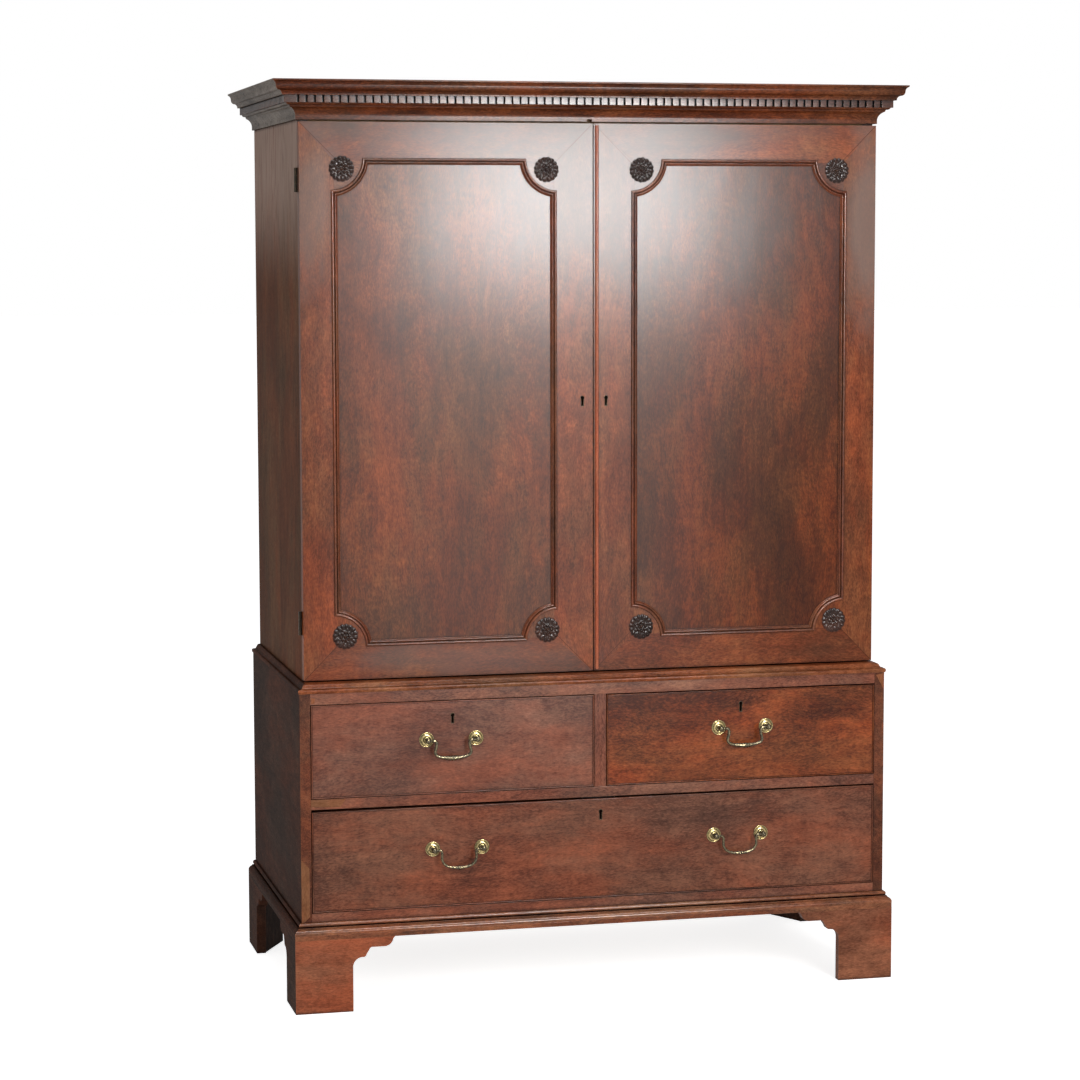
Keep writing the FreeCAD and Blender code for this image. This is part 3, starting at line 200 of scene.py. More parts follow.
def wood(name, dark, plain, bright, figure=1.0, coat=0.20, coat_rough=0.19, wear_and_highlight=0.5, shade_and_dirt=0.9, reach=7.0,
         tinted=1.0, painted_sheen=None, smudges=(), blooms=(), seams=()):
    """Polished wood whose grain follows the grain_at attribute: along the board, then across it twice.

    figure is the strength of the grain, and tinted that of the slow change of hue. wear_and_highlight is the
    strength of the pale edges: wear, and partly a painted highlight on edges and rounds. shade_and_dirt is
    the strength of the near black laid in corners over a width of reach millimetres: dirt, and painted shade.
    painted_sheen (from, to, share) lays a painted pale grey sheen over the wood between two heights. A smudge
    (x, z, half width, half height, strength) darkens the wood around a place on the front, and one with a
    strength below zero brightens it. A bloom (x, z, half width, half height, share, colour) lays a dull film
    over such a place. A seam (x, z, across, up) is the dirty line of a mitre that runs inward from a corner
    of the front.
    """
    material = bpy.data.materials.new(name)
    s = Shader(material)
    at = s.attribute("grain_at").outputs["Vector"]
    tone = s.attribute("tone").outputs["Fac"]
    sway = s.node("TexNoise", {"Vector": s.vector("MULTIPLY", at, (2.2, 5.0, 5.0)), "Scale": 1.0,
                               "Detail": 3.0}).outputs["Color"]
    shift = s.vector("MULTIPLY", s.vector("SUBTRACT", sway, (0.5, 0.5, 0.5)), (0.0, 0.10, 0.10))
    flow = s.vector("ADD", at, shift)

    clouds = s.noise(at, (3.0, 6.5, 6.5), 5.0, 0.60, 0.5)
    mottle = s.noise(flow, (22, 44, 44), 5.0, 0.68, 0.6)
    streaks = s.noise(flow, (5, 95, 95), 4.0, 0.66)
    fibres = s.noise(flow, (120, 430, 430), 3.0, 0.7)
    ripple = s.math("MULTIPLY", s.noise(at, (110, 26, 26), 2.0, 0.5, 0.5), s.span(clouds, 0.42, 0.62))
    level = 0.5
    for part, share in ((clouds, 0.66), (mottle, 0.80), (streaks, 0.60), (fibres, 1.40), (ripple, 0.32),
                        (tone, 0.16)):
        level = s.math("ADD", level, s.math("MULTIPLY", s.math("SUBTRACT", part, 0.5), share * figure))
    place = s.node("TexCoord").outputs["Object"]

    def around(x, z, wide, tall):
        """Distance from the middle of a place on the front, about 1 at its ragged edge."""
        away = s.vector("MULTIPLY", s.vector("SUBTRACT", place, (x, 0.0, z)), (1 / wide, 0.0, 1 / tall))
        distance = s.node("VectorMath", {0: away}, operation="LENGTH").outputs["Value"]
        return s.math("ADD", distance, s.math("MULTIPLY", s.math("SUBTRACT", clouds, 0.5), 2.2))

    for x, z, wide, tall, strength in smudges:
        level = s.math("SUBTRACT", level, s.span(around(x, z, wide, tall), 1.35, 0.10, 0.0, strength))

    ramp = s.node("ValToRGB", {0: level})
    ramp.color_ramp.interpolation = "B_SPLINE"
    stops = ramp.color_ramp.elements
    stops[0].position, stops[0].color = 0.08, dark
    stops[1].position, stops[1].color = 0.92, bright
    stops.new(0.5).color = plain
    hue = s.span(s.noise(at, (3.2, 7.0, 7.0), 5.0, 0.66), 0.36, 0.64)
    tint = s.blend(tinted, rgb(1, 1, 1), s.blend(hue, DULL_TINT, WARM_TINT))
    colour = s.blend(1.0, ramp.outputs[0], tint, "MULTIPLY")
    pores = s.span(s.noise(flow, (70, 1300, 1300), 1.0), 0.60, 0.74)
    colour = s.blend(s.math("MULTIPLY", pores, 0.45), colour, tuple(c * 0.5 for c in dark[:3]) + (1,))
    # Pale edges: wear, and partly a painted highlight on edges and rounds.
    if wear_and_highlight:
        edge = s.math("MULTIPLY", s.sharp_edge(PALE_EDGE_WIDTH), wear_and_highlight)
        patchy = s.span(s.noise(at, (25, 25, 25), 3.0), 0.35, 0.6)
        colour = s.blend(s.math("MULTIPLY", edge, patchy), colour, s.blend(0.4, bright, WORN_AND_LIT_EDGE))
    # A painted sheen: the wood paler and greyer between two heights, where the polish would reflect the room.
    if painted_sheen:
        sheen_share = s.span(s.node("SeparateXYZ", {0: place}).outputs[2], painted_sheen[0], painted_sheen[1], 0.0, painted_sheen[2])
        sheen_share = s.math("MULTIPLY", sheen_share, s.span(streaks, 0.25, 0.60, 0.5, 1.0))
        colour = s.blend(sheen_share, colour, SHEEN_GREY)
    for x, z, wide, tall, share, film in blooms:
        colour = s.blend(s.span(around(x, z, wide, tall), 1.30, 0.20, 0.0, share), colour, film)
    for x, z, across, up in seams:
        from_corner = s.vector("MULTIPLY", s.vector("SUBTRACT", place, (x, 0.0, z)), (across, 0.0, up))
        inward = s.node("SeparateXYZ", {0: from_corner}).outputs
        aside = s.math("ABSOLUTE", s.math("SUBTRACT", inward[0], inward[2]))
        line = s.math("MULTIPLY", s.span(aside, *SEAM_WIDTH, 0.85, 0.0),
                      s.span(inward[0], SEAM_LENGTH, SEAM_LENGTH + 4 * MM, 1.0, 0.0))
        colour = s.blend(line, colour, dark)
    # Corners darkened toward near black from ambient occlusion: dirt, and painted shade.
    shade = s.span(s.crevice(reach * MM), 0.45, 0.985, 1.0, 0.0)
    colour = s.blend(s.math("MULTIPLY", shade, shade_and_dirt), colour, CORNER_SHADE_AND_DIRT)
    height = s.math("SUBTRACT", fibres, pores)
    slow = s.noise(at, (3.5, 8.0, 8.0), 2.0)
    waves = s.node("Bump", {"Strength": 0.35, "Distance": 1.0 * MM, "Height": slow}).outputs[0]
    relief = s.node("Bump", {"Strength": 0.35, "Distance": 0.10 * MM, "Height": height,
                             "Normal": waves}).outputs[0]
    s.finish(s.node("BsdfPrincipled", {
        "Base Color": colour, "Roughness": 0.5, "Normal": relief, "Specular IOR Level": 0.0,
        "Coat Weight": coat, "Coat Roughness": coat_rough, "Coat Normal": waves}).outputs[0])
    return material


def metal(name, clean, stain_and_shade_colour, stained, rough, reach=2.0, soil_and_shade_limit=0.95):
    """Old metal under stained patches, and dark in its corners.

    stained is the share under patches. Corners are dark over reach millimetres, where more than a share
    of soil_and_shade_limit of what surrounds them is open: patina in the hollows, and painted shade.
    """
    material = bpy.data.materials.new(name)
    s = Shader(material)
    at = s.node("TexCoord").outputs["Object"]
    patches = s.span(s.noise(at, (240, 240, 240), 4.0, 0.65), 0.64 - 0.4 * stained, 0.74 - 0.3 * stained)
    # Corners darkened from ambient occlusion: patina in the hollows, and painted shade.
    corner = s.span(s.crevice(reach * MM, 6), 0.35, soil_and_shade_limit, 1.0, 0.0)
    stain_and_shade = s.math("MAXIMUM", s.math("MULTIPLY", patches, 0.8), corner, clamp=True)
    green = s.span(s.noise(at, (420, 420, 420), 2.0), 0.60, 0.70)
    colour = s.blend(stain_and_shade, clean, s.blend(s.math("MULTIPLY", green, 0.5), stain_and_shade_colour, VERDIGRIS))
    relief = s.node("Bump", {"Strength": 0.3, "Distance": 0.08 * MM,
                             "Height": s.noise(at, (900, 900, 900), 3.0)}).outputs[0]
    s.finish(s.node("BsdfPrincipled", {
        "Base Color": colour, "Roughness": s.math("ADD", rough, s.math("MULTIPLY", stain_and_shade, 0.25)),
        "Normal": relief, "Metallic": s.math("SUBTRACT", 1.0, s.math("MULTIPLY", stain_and_shade, 0.35))}).outputs[0])
    return material


def make_world():
    """White behind the press and in its reflections; its light comes from a plainer, darker room."""
    world = bpy.data.worlds.new("studio")
    scene.world = world
    s = Shader(world)
    ray = s.node("LightPath")
    up = s.node("SeparateXYZ", {0: s.node("TexCoord").outputs["Generated"]}).outputs[2]
    height = s.span(up, -0.25, 0.5)
    room = s.blend(height, rgb(0.42, 0.42, 0.42), rgb(1.0, 1.0, 1.0))
    light = s.node("Background", {0: room, 1: ROOM_LIGHT}).outputs[0]
    white = s.node("Background", {0: rgb(1, 1, 1), 1: 1.0}).outputs[0]
    seen = s.math("MAXIMUM", ray.outputs["Is Camera Ray"], ray.outputs["Is Glossy Ray"])
    seen = s.math("MAXIMUM", seen, ray.outputs["Is Transmission Ray"])
    mixed = s.node("MixShader", {0: seen, 1: light, 2: white}).outputs[0]
    out = s.tree.nodes.new("ShaderNodeOutputWorld")
    s.tree.links.new(mixed, out.inputs[0])


def make_floor():
    """Pale floor that the camera sees as white, apart from the shadow on it."""
    mesh = bpy.data.meshes.new("floor")
    far = 60.0
    mesh.from_pydata([(-far, -far, 0), (far, -far, 0), (far, far, 0), (-far, far, 0)], [], [(0, 1, 2, 3)])
    floor = bpy.data.objects.new("floor", mesh)
    scene.collection.objects.link(floor)
    material = bpy.data.materials.new("floor")
    s = Shader(material)
    plain = s.node("BsdfDiffuse", {"Color": rgb(0.85, 0.85, 0.85)}).outputs[0]
    glow = s.node("Emission", {"Color": rgb(1, 1, 1), "Strength": FLOOR_GLOW}).outputs[0]
    seen = s.node("AddShader", {0: plain, 1: glow}).outputs[0]
    ray = s.node("LightPath")
    looked_at = s.math("MAXIMUM", ray.outputs["Is Camera Ray"], ray.outputs["Is Glossy Ray"])
    s.finish(s.node("MixShader", {0: looked_at, 1: plain, 2: seen}).outputs[0])
    mesh.materials.append(material)


# ---- pieces ----------------------------------------------------------------------------------------------
BODY_OF = {node: body for body, nodes in frame["record"]["behaviour"]["bodies"].items() for node in nodes}


def solids_of(node):
    """The node's solids, each a list of faces of corner points: faces are taken in order until they close."""
    mesh = frame["nodes"][node].data
    places = [tuple(round(c, 6) for c in vertex.co) for vertex in mesh.vertices]
    solids, current, open_edges = [], [], set()
    for polygon in mesh.polygons:
        corners = [places[index] for index in polygon.vertices]
        current.append(corners)
        for edge in zip(corners, corners[1:] + corners[:1]):
            if edge[::-1] in open_edges:
                open_edges.remove(edge[::-1])
            else:
                open_edges.add(edge)
        if not open_edges:
            solids.append(current)
            current = []
    return solids


def add_solid(mesh, faces):
    """Adds one solid to a bmesh, welded, with flat faces joined again, and returns its new vertices."""
    part = bmesh.new()
    known = {}
    for corners in faces:
        loop = []
        for place in corners:
            if place not in known:
                known[place] = part.verts.new(place)
            loop.append(known[place])
        if len(set(loop)) == len(loop):
            part.faces.new(loop)
    bmesh.ops.dissolve_limit(part, angle_limit=math.radians(0.4), verts=part.verts, edges=part.edges)
    held = bpy.data.meshes.new("part")
    part.to_mesh(held)
    part.free()
    count = len(mesh.verts)
    mesh.from_mesh(held)
    bpy.data.meshes.remove(held)
    mesh.verts.ensure_lookup_table()
    return mesh.verts[count:]


def lay_grain(mesh, vertices):
    """Gives the vertices of one board their place in the wood: grain_at runs along the board first."""
    grain, tone = mesh.verts.layers.float_vector["grain_at"], mesh.verts.layers.float["tone"]
    low = [min(v.co[k] for v in vertices) for k in range(3)]
    high = [max(v.co[k] for v in vertices) for k in range(3)]
    along = max(range(3), key=lambda k: high[k] - low[k])
    order = [along] + [k for k in range(3) if k != along]
    offset = Vector([dice.uniform(-40, 40) for _ in range(3)])
    shade = dice.random()
    for vertex in vertices:
        vertex[grain] = Vector([vertex.co[k] for k in order]) + offset
        vertex[tone] = shade


def stitch(mesh, rows):
    """Joins each closed row of vertices to the next with a band of faces."""
    for near, far in zip(rows, rows[1:]):
        for k in range(len(near)):
            after = (k + 1) % len(near)
            mesh.faces.new((near[k], near[after], far[after], far[k]))


def loft(mesh, rings, caps=True):
    """Adds a skin over closed rings of points and returns its new vertices."""
    rows = [[mesh.verts.new(place) for place in ring] for ring in rings]
    stitch(mesh, rows)
    if caps:
        mesh.faces.new(rows[0][::-1])
        mesh.faces.new(rows[-1])
    return [vertex for row in rows for vertex in row]


def through(points, steps):
    """A smooth run of points through the given ones, with so many steps between each two."""
    padded = [points[0]] + list(points) + [points[-1]]
    run = []
    for index in range(1, len(padded) - 2):
        a, b, c, d = [Vector(p) for p in padded[index - 1:index + 3]]
        for step in range(steps):
            t = step / steps
            run.append(0.5 * (2 * b + (c - a) * t + (2 * a - 5 * b + 4 * c - d) * t ** 2
                              + (3 * b - 3 * c + d - a) * t ** 3))
    return run + [Vector(points[-1])]


def new_wood_mesh():
    """Empty bmesh for lay_grain to work on."""
    mesh = bmesh.new()
    mesh.verts.layers.float_vector.new("grain_at")
    mesh.verts.layers.float.new("tone")
    return mesh


def piece_from(name, mesh, body, material, bevel=None, smooth=35):
    """Makes a bmesh into a piece that rides on a body; edges sharper than smooth degrees stay edges."""
    data = bpy.data.meshes.new(name)
    for edge in mesh.edges:
        edge.smooth = len(edge.link_faces) == 2 and edge.calc_face_angle(0.0) <= math.radians(smooth)
    for face in mesh.faces:
        face.smooth = True
    mesh.to_mesh(data)
    mesh.free()
    data.materials.append(material)
    piece = bpy.data.objects.new(name, data)
    scene.collection.objects.link(piece)
    if bevel:
        soft = piece.modifiers.new("edges", "BEVEL")
        soft.width = bevel
        soft.segments = 2
        soft.limit_method = "ANGLE"
        soft.angle_limit = math.radians(smooth)
        weigh = piece.modifiers.new("normals", "WEIGHTED_NORMAL")
        weigh.keep_sharp = False
    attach(piece, body)
    return piece


def stand_in(name, mesh, node, material, bevel=None, smooth=35):
    """Makes a bmesh into the piece that is seen in place of a CAD node."""
    piece = piece_from(name, mesh, BODY_OF[node], material, bevel, smooth)
    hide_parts(node)
    return piece


# Wear of a drawer front's top edge in millimetres, at its left and at its right end.
WORN_TOPS = {"long_drawer_front": (4.0, 1.6), "right_drawer_front": (0.4, 1.0)}
WORN_DEPTH = 6 * MM                         # how far down a top edge goes


def wear_top(piece, left, right):
    """Lowers a front's top edge, which opens the gap over it."""
    places = [vertex.co for vertex in piece.data.vertices]
    low_x, high_x = min(p.x for p in places), max(p.x for p in places)
    top = max(p.z for p in places)
    for p in places:
        if p.z > top - WORN_DEPTH:
            share = (p.x - low_x) / (high_x - low_x)
            p.z -= (left + (right - left) * share) * MM


def dress(node, material, bevel, side=None, front=None):
    """Stands in for a CAD node with the same solids, each with its own grain and soft edges.

    side is the finish of solids that run from front to back, and front that of faces toward the front.
    """
    mesh = new_wood_mesh()
    for faces in solids_of(node):
        fresh = add_solid(mesh, faces)
        lay_grain(mesh, fresh)
        deep = max(v.co.y for v in fresh) - min(v.co.y for v in fresh)
        wide = max(v.co.x for v in fresh) - min(v.co.x for v in fresh)
        for face in {face for vertex in fresh for face in vertex.link_faces}:
            face.material_index = int(bool(side) and deep > wide or bool(front) and face.normal.y < -0.9)
    piece = stand_in(node + "_wood", mesh, node, material, bevel)
    if side or front:
        piece.data.materials.append(side or front)
    if node in WORN_TOPS:
        wear_top(piece, *WORN_TOPS[node])


def front_corners(node):
    """A node's corners seen from the front, with the directions across and up toward its middle."""
    low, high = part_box(node)
    return [(low[0], low[2], 1, 1), (low[0], high[2], 1, -1), (high[0], high[2], -1, -1),
            (high[0], low[2], -1, 1)]


# ---- finishes --------------------------------------------------------------------------------------------
# The grey film is a bloom of the polish and partly a painted grey tint of the lamp's reflection.
GREY_BLOOM_AND_GLARE, PALE_BLOOM = rgb(0.084, 0.058, 0.049), rgb(0.22, 0.155, 0.130)

# Blooms and smudges, each described at wood(). The doors are grey high in their middle: a bloom of the
# polish, and partly a painted grey tint where the lamp's reflection lies. Their polish has gone pale at the
# top of their outer stiles and under the left panel.
GREY_TOPS = [(0.03, 1.70, 0.37, 0.27, 0.72, GREY_BLOOM_AND_GLARE), (-0.34, 1.79, 0.28, 0.06, 0.65, GREY_BLOOM_AND_GLARE),
             (0.28, 1.80, 0.26, 0.05, 0.60, GREY_BLOOM_AND_GLARE)]
PALE_PLACES = [(0.600, 1.62, 0.06, 0.26, 0.65, PALE_BLOOM), (-0.580, 1.66, 0.06, 0.16, 0.45, PALE_BLOOM),
               (-0.30, 0.72, 0.30, 0.05, 0.30, PALE_BLOOM)]
LEFT_PANEL_SMUDGES = [(-0.11, 1.00, 0.06, 0.22, 0.05), (-0.43, 1.40, 0.05, 0.06, 0.26),
                      (-0.26, 1.08, 0.16, 0.14, -0.05), (-0.435, 1.26, 0.06, 0.42, -0.17)]
RIGHT_PANEL_SMUDGES = [(0.20, 0.98, 0.13, 0.14, 0.03), (0.40, 0.90, 0.12, 0.12, 0.03),
                       (0.28, 1.34, 0.18, 0.14, -0.16), (0.46, 1.50, 0.06, 0.20, -0.18)]
LEFT_DRAWER_SMUDGES = [(-0.18, 0.53, 0.20, 0.03, 0.14), (-0.50, 0.56, 0.10, 0.08, 0.06)]
RIGHT_DRAWER_SMUDGES = [(0.16, 0.615, 0.20, 0.022, 0.18), (0.24, 0.50, 0.22, 0.07, -0.10),
                        (0.50, 0.58, 0.14, 0.02, 0.10)]
LONG_DRAWER_SMUDGES = [(-0.46, 0.30, 0.22, 0.12, 0.14), (0.00, 0.33, 0.20, 0.09, -0.13),
                       (0.30, 0.37, 0.16, 0.04, 0.08), (0.42, 0.30, 0.04, 0.08, 0.10),
                       (0.54, 0.36, 0.03, 0.05, 0.10)]

# Each wood has a dark, a plain and a bright tone.
face_wood = wood("mahogany_face", rgb(0.070, 0.018, 0.007), rgb(0.170, 0.041, 0.0145),
                 rgb(0.33, 0.086, 0.028), coat=0.175, blooms=GREY_TOPS + PALE_PLACES,
                 smudges=[(-0.59, 0.86, 0.05, 0.20, 0.14)],
                 seams=front_corners("left_door_frame") + front_corners("right_door_frame"))
left_panel_wood = wood("mahogany_panel_left", rgb(0.052, 0.014, 0.0055), rgb(0.126, 0.031, 0.0095),
                       rgb(0.270, 0.070, 0.020), blooms=GREY_TOPS, smudges=LEFT_PANEL_SMUDGES)
right_panel_wood = wood("mahogany_panel_right", rgb(0.038, 0.009, 0.0030), rgb(0.098, 0.022, 0.0060),
                        rgb(0.235, 0.056, 0.014), blooms=GREY_TOPS[:1], smudges=RIGHT_PANEL_SMUDGES)
moulding_wood = wood("mahogany_moulding", rgb(0.030, 0.009, 0.004), rgb(0.145, 0.039, 0.016),
                     rgb(0.33, 0.092, 0.036), figure=0.7, coat=0.28, wear_and_highlight=0.7, shade_and_dirt=1.0, reach=5.0)
bead_wood = wood("mahogany_bead", rgb(0.13, 0.034, 0.015), rgb(0.35, 0.090, 0.042),
                 rgb(0.52, 0.15, 0.072), figure=0.7, coat=0.3, wear_and_highlight=0.2)
carved_wood = wood("rosette_wood", rgb(0.010, 0.0045, 0.003), rgb(0.030, 0.012, 0.008),
                   rgb(0.10, 0.040, 0.026), coat=0.34, coat_rough=0.16, wear_and_highlight=0.8, shade_and_dirt=1.0, reach=5.0,
                   tinted=0.3)
cornice_wood = wood("mahogany_cornice", rgb(0.030, 0.009, 0.004), rgb(0.115, 0.030, 0.012),
                    rgb(0.27, 0.075, 0.026), coat=0.12, wear_and_highlight=0.7, shade_and_dirt=1.0, reach=9.0)
cornice_side_wood = wood("mahogany_cornice_side", rgb(0.052, 0.040, 0.032), rgb(0.148, 0.117, 0.095),
                         rgb(0.29, 0.235, 0.19), coat=0.13, shade_and_dirt=1.0, reach=9.0, tinted=0.0)
dentil_wood = wood("mahogany_dentil", rgb(0.030, 0.011, 0.008), rgb(0.085, 0.036, 0.025),
                   rgb(0.17, 0.08, 0.055), coat=0.30, shade_and_dirt=1.0, reach=13.0)
# The upper sides get a painted pale grey sheen high up.
upper_side_wood = wood("mahogany_side", rgb(0.055, 0.019, 0.008), rgb(0.135, 0.047, 0.019),
                       rgb(0.23, 0.082, 0.034), figure=0.8, coat=0.05, painted_sheen=(1.46, 1.74, 0.85))
waist_wood = wood("mahogany_waist", rgb(0.085, 0.025, 0.010), rgb(0.265, 0.080, 0.032),
                  rgb(0.42, 0.150, 0.062), coat=0.14, wear_and_highlight=0.9, shade_and_dirt=1.0)
rail_wood = wood("mahogany_rail", rgb(0.075, 0.026, 0.017), rgb(0.220, 0.074, 0.044),
                 rgb(0.36, 0.128, 0.070))
post_wood = wood("mahogany_post", rgb(0.040, 0.012, 0.006), rgb(0.128, 0.038, 0.018),
                 rgb(0.26, 0.080, 0.034))
left_drawer_wood = wood("mahogany_left_drawer", rgb(0.075, 0.026, 0.018), rgb(0.198, 0.069, 0.043),
                        rgb(0.33, 0.120, 0.072), figure=0.9, smudges=LEFT_DRAWER_SMUDGES)
right_drawer_wood = wood("mahogany_right_drawer", rgb(0.050, 0.012, 0.005), rgb(0.195, 0.045, 0.0145),
                         rgb(0.36, 0.085, 0.026), figure=1.1, smudges=RIGHT_DRAWER_SMUDGES)
long_drawer_wood = wood("mahogany_long_drawer", rgb(0.050, 0.016, 0.010), rgb(0.168, 0.054, 0.030),
                        rgb(0.31, 0.100, 0.052), smudges=LONG_DRAWER_SMUDGES)
patch_wood = wood("repair_wood", rgb(0.11, 0.034, 0.013), rgb(0.235, 0.075, 0.029),
                  rgb(0.34, 0.125, 0.055), figure=0.8, wear_and_highlight=0.0, shade_and_dirt=0.7)
lip_wood = wood("mahogany_lip", rgb(0.070, 0.021, 0.009), rgb(0.225, 0.068, 0.028),
                rgb(0.40, 0.140, 0.060), coat=0.32, wear_and_highlight=0.9, shade_and_dirt=1.0)
foot_wood = wood("mahogany_foot", rgb(0.110, 0.030, 0.014), rgb(0.270, 0.077, 0.037),
                 rgb(0.42, 0.130, 0.062), wear_and_highlight=0.9, shade_and_dirt=1.0, smudges=[(-0.58, 0.09, 0.20, 0.16, -0.24)])
dark_side_wood = wood("mahogany_dark", rgb(0.028, 0.013, 0.009), rgb(0.066, 0.028, 0.019),
                      rgb(0.14, 0.056, 0.034), figure=0.9, coat=0.04)
lining_wood = wood("drawer_lining", rgb(0.16, 0.095, 0.05), rgb(0.30, 0.19, 0.105),
                   rgb(0.42, 0.28, 0.16), figure=0.6, coat=0.0, shade_and_dirt=0.5, tinted=0.25)
pine_wood = wood("pine", rgb(0.15, 0.085, 0.045), rgb(0.28, 0.165, 0.09), rgb(0.38, 0.25, 0.14),
                 figure=0.7, coat=0.0, shade_and_dirt=0.5, tinted=0.2)
# Near black: painted shade for the inside of the keyholes.
keyhole_shade = wood("keyhole_shade", rgb(0.0010, 0.0008, 0.0006), rgb(0.0022, 0.0016, 0.0012),
                    rgb(0.006, 0.004, 0.003), coat=0.0, wear_and_highlight=0.0)

bright_brass = metal("bright_brass", rgb(0.34, 0.265, 0.125), rgb(0.050, 0.039, 0.018), 0.35, 0.20,
                     reach=5.0, soil_and_shade_limit=0.99)
aged_brass = metal("aged_brass", rgb(0.125, 0.100, 0.058), rgb(0.022, 0.019, 0.013), 0.55, 0.18)
dull_brass = metal("dull_brass", rgb(0.070, 0.050, 0.032), rgb(0.020, 0.017, 0.012), 0.7, 0.40)
iron = metal("old_iron", rgb(0.014, 0.012, 0.011), rgb(0.005, 0.004, 0.003), 0.7, 0.55)


# ---- boards, mouldings, hinges and bolts that keep their CAD shape ---------------------------------------
WOOD_EDGE, METAL_EDGE = 0.45 * MM, 0.25 * MM        # width of a piece's soft edges
DOORS = "left_door", "right_door"
HINGES = "case_hinge_leaves", "left_door_hinge_leaves", "right_door_hinge_leaves"
LOCKS = "left_door_fittings", "right_door_lock", "left_drawer_lock", "right_drawer_lock", "long_drawer_lock"
BOLTS = ("left_door_top_bolt", "left_door_bottom_bolt", "right_door_lock_bolt", "left_drawer_lock_bolt",
         "right_drawer_lock_bolt", "long_drawer_lock_bolt")
LINING = ("tray_1", "tray_2", "tray_3", "tray_4", "tray_runners", "drawer_runners",
          "left_drawer_box", "right_drawer_box", "long_drawer_box")
PINE = ("cornice_frame", "upper_top_board", "upper_bottom_board", "upper_back_boards", "lower_top_board",
        "lower_bottom_board", "lower_back_boards")

# Nodes in the order in which they are dressed, with their finishes.
BOARDS = ((("left_door_frame", "right_door_frame"), face_wood), (("base_moulding", "plinth_frame"), lip_wood),
          (("waist_moulding",), waist_wood), (("cornice_mouldings",), cornice_wood),
          (("lower_rails",), rail_wood), (("left_drawer_front",), left_drawer_wood),
          (("right_drawer_front",), right_drawer_wood), (("long_drawer_front",), long_drawer_wood),
          (("front_feet",), foot_wood), (LINING, lining_wood), (("cornice_dentils",), dentil_wood),
          (("upper_sides",), upper_side_wood), (PINE, pine_wood),
          (("lower_sides", "back_feet"), dark_side_wood), (("right_door_bead",), bead_wood),
          (("left_door_panel",), left_panel_wood), (("right_door_panel",), right_panel_wood))
SIDE_FINISHES = {"cornice_mouldings": cornice_side_wood, "waist_moulding": dark_side_wood,
                 "base_moulding": dark_side_wood, "plinth_frame": dark_side_wood,
                 "front_feet": dark_side_wood}
FRONT_FINISHES = {"lower_sides": post_wood}


def dress_boards():
    for nodes, finish in BOARDS:
        for node in nodes:
            dress(node, finish, WOOD_EDGE, side=SIDE_FINISHES.get(node), front=FRONT_FINISHES.get(node))
    for node in HINGES:
        dress(node, dull_brass, METAL_EDGE)
    for node in BOLTS:
        dress(node, aged_brass, METAL_EDGE)


# ---- panel mouldings -------------------------------------------------------------------------------------
# Outer face of the moulding in millimetres: width from its outer line, and height over the frame's face.
MOULDING_CURVE = [(0.0, 0.6), (0.5, 1.9), (1.7, 2.8), (3.3, 2.9), (4.9, 2.3), (5.9, 1.1), (6.3, 0.4),
                  (7.0, 0.9), (8.2, 1.9), (9.4, 2.0), (10.8, 1.0), (12.0, -0.5), (13.5, -1.3)]
CORNER_STEPS = 24


def moulding_section(door):
    """Section of the panel moulding: (width from its outer line, depth), a round, a quirk and an ogee."""
    face_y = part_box(door + "_frame")[0][1]
    panel_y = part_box(door + "_panel")[0][1]
    curve = through(MOULDING_CURVE, 3)
    return ([(0.0, face_y)] + [(point.x * MM, face_y - point.y * MM) for point in curve]
            + [(MOULDING_WIDTH, panel_y), (MOULDING_LAP, panel_y), (MOULDING_LAP, face_y)])


def panel_mouldings(door):
    """Four straight lengths and four hollow corners, each cut along the line where the two surfaces meet."""
    section = moulding_section(door)
    corners = front_corners(door + "_mouldings")
    mesh = new_wood_mesh()

    def reach(w):
        """Where the line at width w leaves the straight length for the hollow corner."""
        return math.sqrt((CORNER_RADIUS + w) ** 2 - w ** 2)

    for index, (x, z, across, up) in enumerate(corners):
        rings = []
        for step in range(CORNER_STEPS + 1):
            ring = []
            for w, y in section:
                out = CORNER_RADIUS + w
                first = math.asin(w / out)
                angle = first + (math.pi / 2 - 2 * first) * step / CORNER_STEPS
                ring.append((x + across * out * math.cos(angle), y, z + up * out * math.sin(angle)))
            rings.append(ring)
        lay_grain(mesh, loft(mesh, rings))
        x1, z1, across1, up1 = corners[(index + 1) % 4]
        if x == x1:
            ends = [[(x + across * w, y, z + up * reach(w)) for w, y in section],
                    [(x1 + across1 * w, y, z1 + up1 * reach(w)) for w, y in section]]
        else:
            ends = [[(x + across * reach(w), y, z + up * w) for w, y in section],
                    [(x1 + across1 * reach(w), y, z1 + up1 * w) for w, y in section]]
        lay_grain(mesh, loft(mesh, ends))
    bmesh.ops.recalc_face_normals(mesh, faces=mesh.faces)
    stand_in(door + "_moulding_wood", mesh, door + "_mouldings", moulding_wood, smooth=50)


# ---- carved rosettes -------------------------------------------------------------------------------------
ROSETTE_AROUND, ROSETTE_RINGS = 144, 30
ROSETTE_TURN = 0.1                          # most that one is turned out of line, in radians


def bump(value, centre, width):
    """1 at the centre, fading to nothing over about twice the width."""
    return math.exp(-((value - centre) / width) ** 2)


def off_petal(turn):
    """0 on a petal's middle and 1 between two petals."""
    return abs((turn + 0.5) % 1.0 - 0.5) * 2


